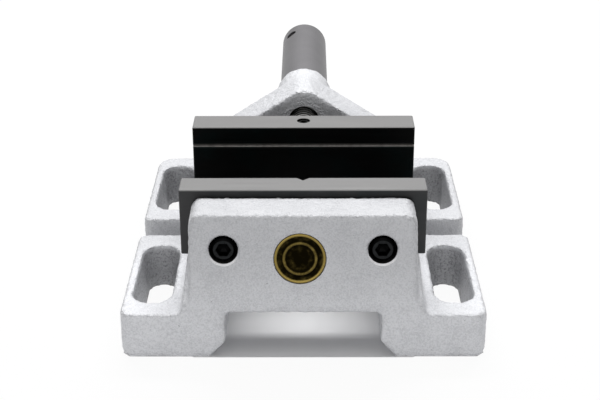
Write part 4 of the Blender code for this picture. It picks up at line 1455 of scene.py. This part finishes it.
@dataclass
class Badge:
    """The round brass plate on the leaning face, with plain turned rings.

    The profile gives each ring's share of the plate's radius, its share of the thickness, and its patina.
    """

    finish: Material
    lean: Vector
    thickness: float = 1.6 * MM
    sides: int = 128
    smooth_angle: float = 60 * DEGREE
    profile_shares: tuple[Triple, ...] = (
        (0.0, 0.0, 0.5),
        (0.99, 0.0, 0.5),
        (1.0, 0.06, 0.3),
        (1.0, 0.86, 0.2),
        (0.985, 0.97, 0.0),
        (0.96, 1.0, 0.0),
        (0.925, 0.99, 0.1),
        (0.90, 0.90, 0.35),
        (0.885, 0.72, 0.66),
        (0.87, 0.69, 0.72),
        (0.70, 0.69, 0.80),
        (0.69, 0.74, 0.74),
        (0.67, 0.93, 0.58),
        (0.65, 0.97, 0.52),
        (0.60, 0.97, 0.52),
        (0.58, 0.93, 0.58),
        (0.56, 0.74, 0.74),
        (0.54, 0.69, 0.80),
        (0.40, 0.70, 0.74),
        (0.20, 0.71, 0.84),
        (0.0, 0.71, 0.86),
    )

    def build(self) -> Object:
        """Makes the plate.

        Returns:
            The finished piece.
        """
        low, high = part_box("badge_plate")
        radius = (high.x - low.x) / 2
        back = (low + high) / 2 - self.lean * self.thickness / 2
        stand = Matrix.Translation(back) @ UP.rotation_difference(self.lean).to_matrix().to_4x4()
        shape = bmesh.new()
        layer = shape.verts.layers.float.new(AgedBrass.patina)
        profile = [(radius * share, self.thickness * rise) for share, rise, _ in self.profile_shares]
        rings = turned(shape, stand, profile, self.sides)
        for ring, (_, _, patina) in zip(rings, self.profile_shares):
            for point in ring:
                point[layer] = patina
        bmesh.ops.recalc_face_normals(shape, faces=shape.faces)
        made = piece(shape, "badge_rings", self.finish, self.smooth_angle)
        fit(made, Body.CASTING, Slot.BRASS, "badge_plate")
        return made


@dataclass(frozen=True)
class Viewpoint:
    """The camera that looks down on the vise from in front."""

    place: Triple = (0.00218, -0.5755, 0.27576)
    pitch: float = 24.776 * DEGREE
    yaw: float = -0.415 * DEGREE
    roll: float = 0.264 * DEGREE
    lens: float = 77.214
    sensor: float = 36.0
    nearest: float = 0.01

    def build(self) -> Object:
        """Makes the camera, which the scene uses.

        Returns:
            The camera.
        """
        level = Vector((math.sin(self.yaw), math.cos(self.yaw), 0))
        ahead = level * math.cos(self.pitch) - UP * math.sin(self.pitch)
        right = level.cross(UP)
        up = right.cross(ahead)
        across = right * math.cos(self.roll) - up * math.sin(self.roll)
        above = right * math.sin(self.roll) + up * math.cos(self.roll)
        camera = bpy.data.cameras.new("viewpoint")
        camera.lens = self.lens
        camera.sensor_width = self.sensor
        camera.clip_start = self.nearest
        made = added("viewpoint", camera)
        turn = Matrix((across, above, -ahead)).transposed().to_4x4()
        made.matrix_world = Matrix.Translation(self.place) @ turn
        bpy.context.scene.camera = made
        return made


@dataclass(frozen=True)
class Lamp:
    """A soft flat lamp that is aimed at the vise."""

    name: str
    place: Triple
    aim: Triple
    size: Span
    power: float

    def build(self) -> Object:
        """Makes the lamp.

        Returns:
            The lamp.
        """
        light = bpy.data.lights.new(self.name, "AREA")
        light.shape = "RECTANGLE"
        light.size, light.size_y = self.size
        light.energy = self.power
        made = added(self.name, light)
        made.location = self.place
        away = Vector(self.place) - Vector(self.aim)
        made.rotation_euler = away.to_track_quat("Z", "Y").to_euler()
        return made


@dataclass
class Studio:
    """A white floor and background, and soft lamps above."""

    floor_size: float = 6.0
    floor_colour: tuple[float, float, float, float] = (0.90, 0.90, 0.905, 1.0)
    floor_roughness: float = 0.9
    floor_gloss: float = 0.1
    white: tuple[float, float, float, float] = (1.0, 1.0, 1.0, 1.0)
    floor_glow: float = 0.93
    foot: Span = (45.0 * MM, 81.5 * MM)
    foot_corner: float = 1.0 * MM
    contact: float = 1.0 * MM
    sky: float = 0.25
    lamps: tuple[Lamp, ...] = (
        Lamp("back_strip", (0.0, 0.78, 1.0), (0.0, -0.05, 0.02), (1.4, 0.22), 15.5),
        Lamp("overhead", (0.0, 0.0, 1.10), (0.0, 0.0, 0.0), (1.2, 1.2), 5.3),
        Lamp("front_box", (-0.15, -1.25, 0.25), (0.0, -0.10, 0.03), (1.0, 0.4), 2.7),
    )

    def build(self) -> None:
        """Makes the floor, the background, the lamps and the camera."""
        self.floor()
        self.background()
        for lamp in self.lamps:
            lamp.build()
        Viewpoint().build()
        bpy.context.scene.view_settings.view_transform = "Standard"

    def floor(self) -> Object:
        """Makes the floor, which keeps the shadow and is clear from below.

        Returns:
            The floor.
        """
        shape = bmesh.new()
        bmesh.ops.create_grid(shape, x_segments=1, y_segments=1, size=self.floor_size / 2)
        made = added("floor", mesh_of("floor", shape))
        material = bpy.data.materials.new("studio_floor")
        material.use_nodes = True
        bench = Bench(material.node_tree)
        surface = bench.tree.nodes["Principled BSDF"]
        surface.inputs["Base Color"].default_value = self.floor_colour
        surface.inputs["Roughness"].default_value = self.floor_roughness
        surface.inputs["Specular IOR Level"].default_value = self.floor_gloss
        glow = bench.node("ShaderNodeEmission", {"Color": self.white, "Strength": 1.0})
        share = bench.product(self.seen(bench), self.beyond_foot(bench), self.floor_glow)
        lit = bench.node("ShaderNodeMixShader", {0: share, 1: surface.outputs[0], 2: glow.outputs[0]})
        clear = bench.node("ShaderNodeBsdfTransparent")
        behind = bench.node("ShaderNodeNewGeometry").outputs["Backfacing"]
        mix = bench.node("ShaderNodeMixShader", {0: behind, 1: lit.outputs[0], 2: clear.outputs[0]})
        bench.feed(bench.tree.nodes["Material Output"].inputs["Surface"], mix.outputs[0])
        made.data.materials.append(material)
        return made

    def seen(self, bench: Bench) -> NodeSocket:
        """Finds the rays that show the backdrop, from the camera, metal or glass.

        Args:
            bench: The tree that needs them.

        Returns:
            1 for such rays.
        """
        path = bench.node("ShaderNodeLightPath").outputs
        seen = bench.math("MAXIMUM", path["Is Camera Ray"], path["Is Glossy Ray"])
        return bench.math("MAXIMUM", seen, path["Is Transmission Ray"])

    def beyond_foot(self, bench: Bench) -> NodeSocket:
        """Finds the floor that isn't under the vise.

        Args:
            bench: The floor's tree.

        Returns:
            0 under the vise, and 1 round it and where a foot rests on the floor.
        """
        place = bench.node("ShaderNodeTexCoord").outputs["Object"]
        across, along, _ = bench.node("ShaderNodeSeparateXYZ", {0: place}).outputs
        sides = []
        for value, middle, half in zip((across, along), (0.0, BASE_MIDDLE), self.foot):
            away = bench.math("ABSOLUTE", bench.math("SUBTRACT", value, middle))
            outside = bench.math("SUBTRACT", away, half - self.foot_corner)
            sides.append(bench.math("MAXIMUM", outside, 0.0))
        beyond = bench.math("GREATER_THAN", bench.distance(*sides), self.foot_corner)
        length = bench.node("ShaderNodeLightPath").outputs["Ray Length"]
        return bench.math("MAXIMUM", beyond, bench.math("LESS_THAN", length, self.contact))

    def background(self) -> None:
        """Makes the world white to the camera and to metal, and softer as a light."""
        world = bpy.data.worlds.new("studio")
        bpy.context.scene.world = world
        world.use_nodes = True
        bench = Bench(world.node_tree)
        strength = bench.node("ShaderNodeMapRange", {0: self.seen(bench), 3: self.sky, 4: 1.0}).outputs[0]
        backdrop = bench.tree.nodes["Background"]
        backdrop.inputs["Color"].default_value = self.white
        bench.feed(backdrop.inputs["Strength"], strength)


def main() -> None:
    """Loads the frame and builds the vise and its studio."""
    logging.basicConfig(level=logging.INFO, format="%(name)s: %(message)s")
    for leftover in list(bpy.data.objects):
        bpy.data.objects.remove(leftover, do_unlink=True)
    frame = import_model()
    casting = CastBody(CastPaint().build())
    casting.build()
    black = BlackOxide().build()
    dressed = (
        (["front_jaw"], FRONT_JAW_STEEL.build(), Slot.BLACKENED),
        (["moving_jaw"], MOVING_JAW_STEEL.build(), Slot.BLACKENED),
        (["sleeve_nut"], SLEEVE_STEEL.build(), Slot.GREY),
        (["jaw_lock_screw"], black, Slot.SCREW),
        (["guide_block", "keeper_plate"], MILLED_STEEL.build(), Slot.GREY),
        ([f"keeper_lock_washer_{side}" for side in SIDES], SPRING_STEEL.build(), Slot.BRIGHT),
        ([f"sleeve_pin_{side}" for side in SIDES], PIN_STEEL.build(), Slot.BRIGHT),
        (["thrust_washer"], WASHER_BRONZE.build(), Slot.BRONZE),
    )
    for names, finish, slot in dressed:
        for name in names:
            dress(frame["nodes"][name], finish)
    Spindle(ThreadSteel().build()).build()
    CapScrews(black, "front_jaw_screw", Body.CASTING, -BACK).build()
    CapScrews(black, "keeper_screw", Body.JAW, -UP).build()
    Badge(AgedBrass().build(), casting.lean()).build()
    Studio().build()


if __name__ == "__main__":
    main()
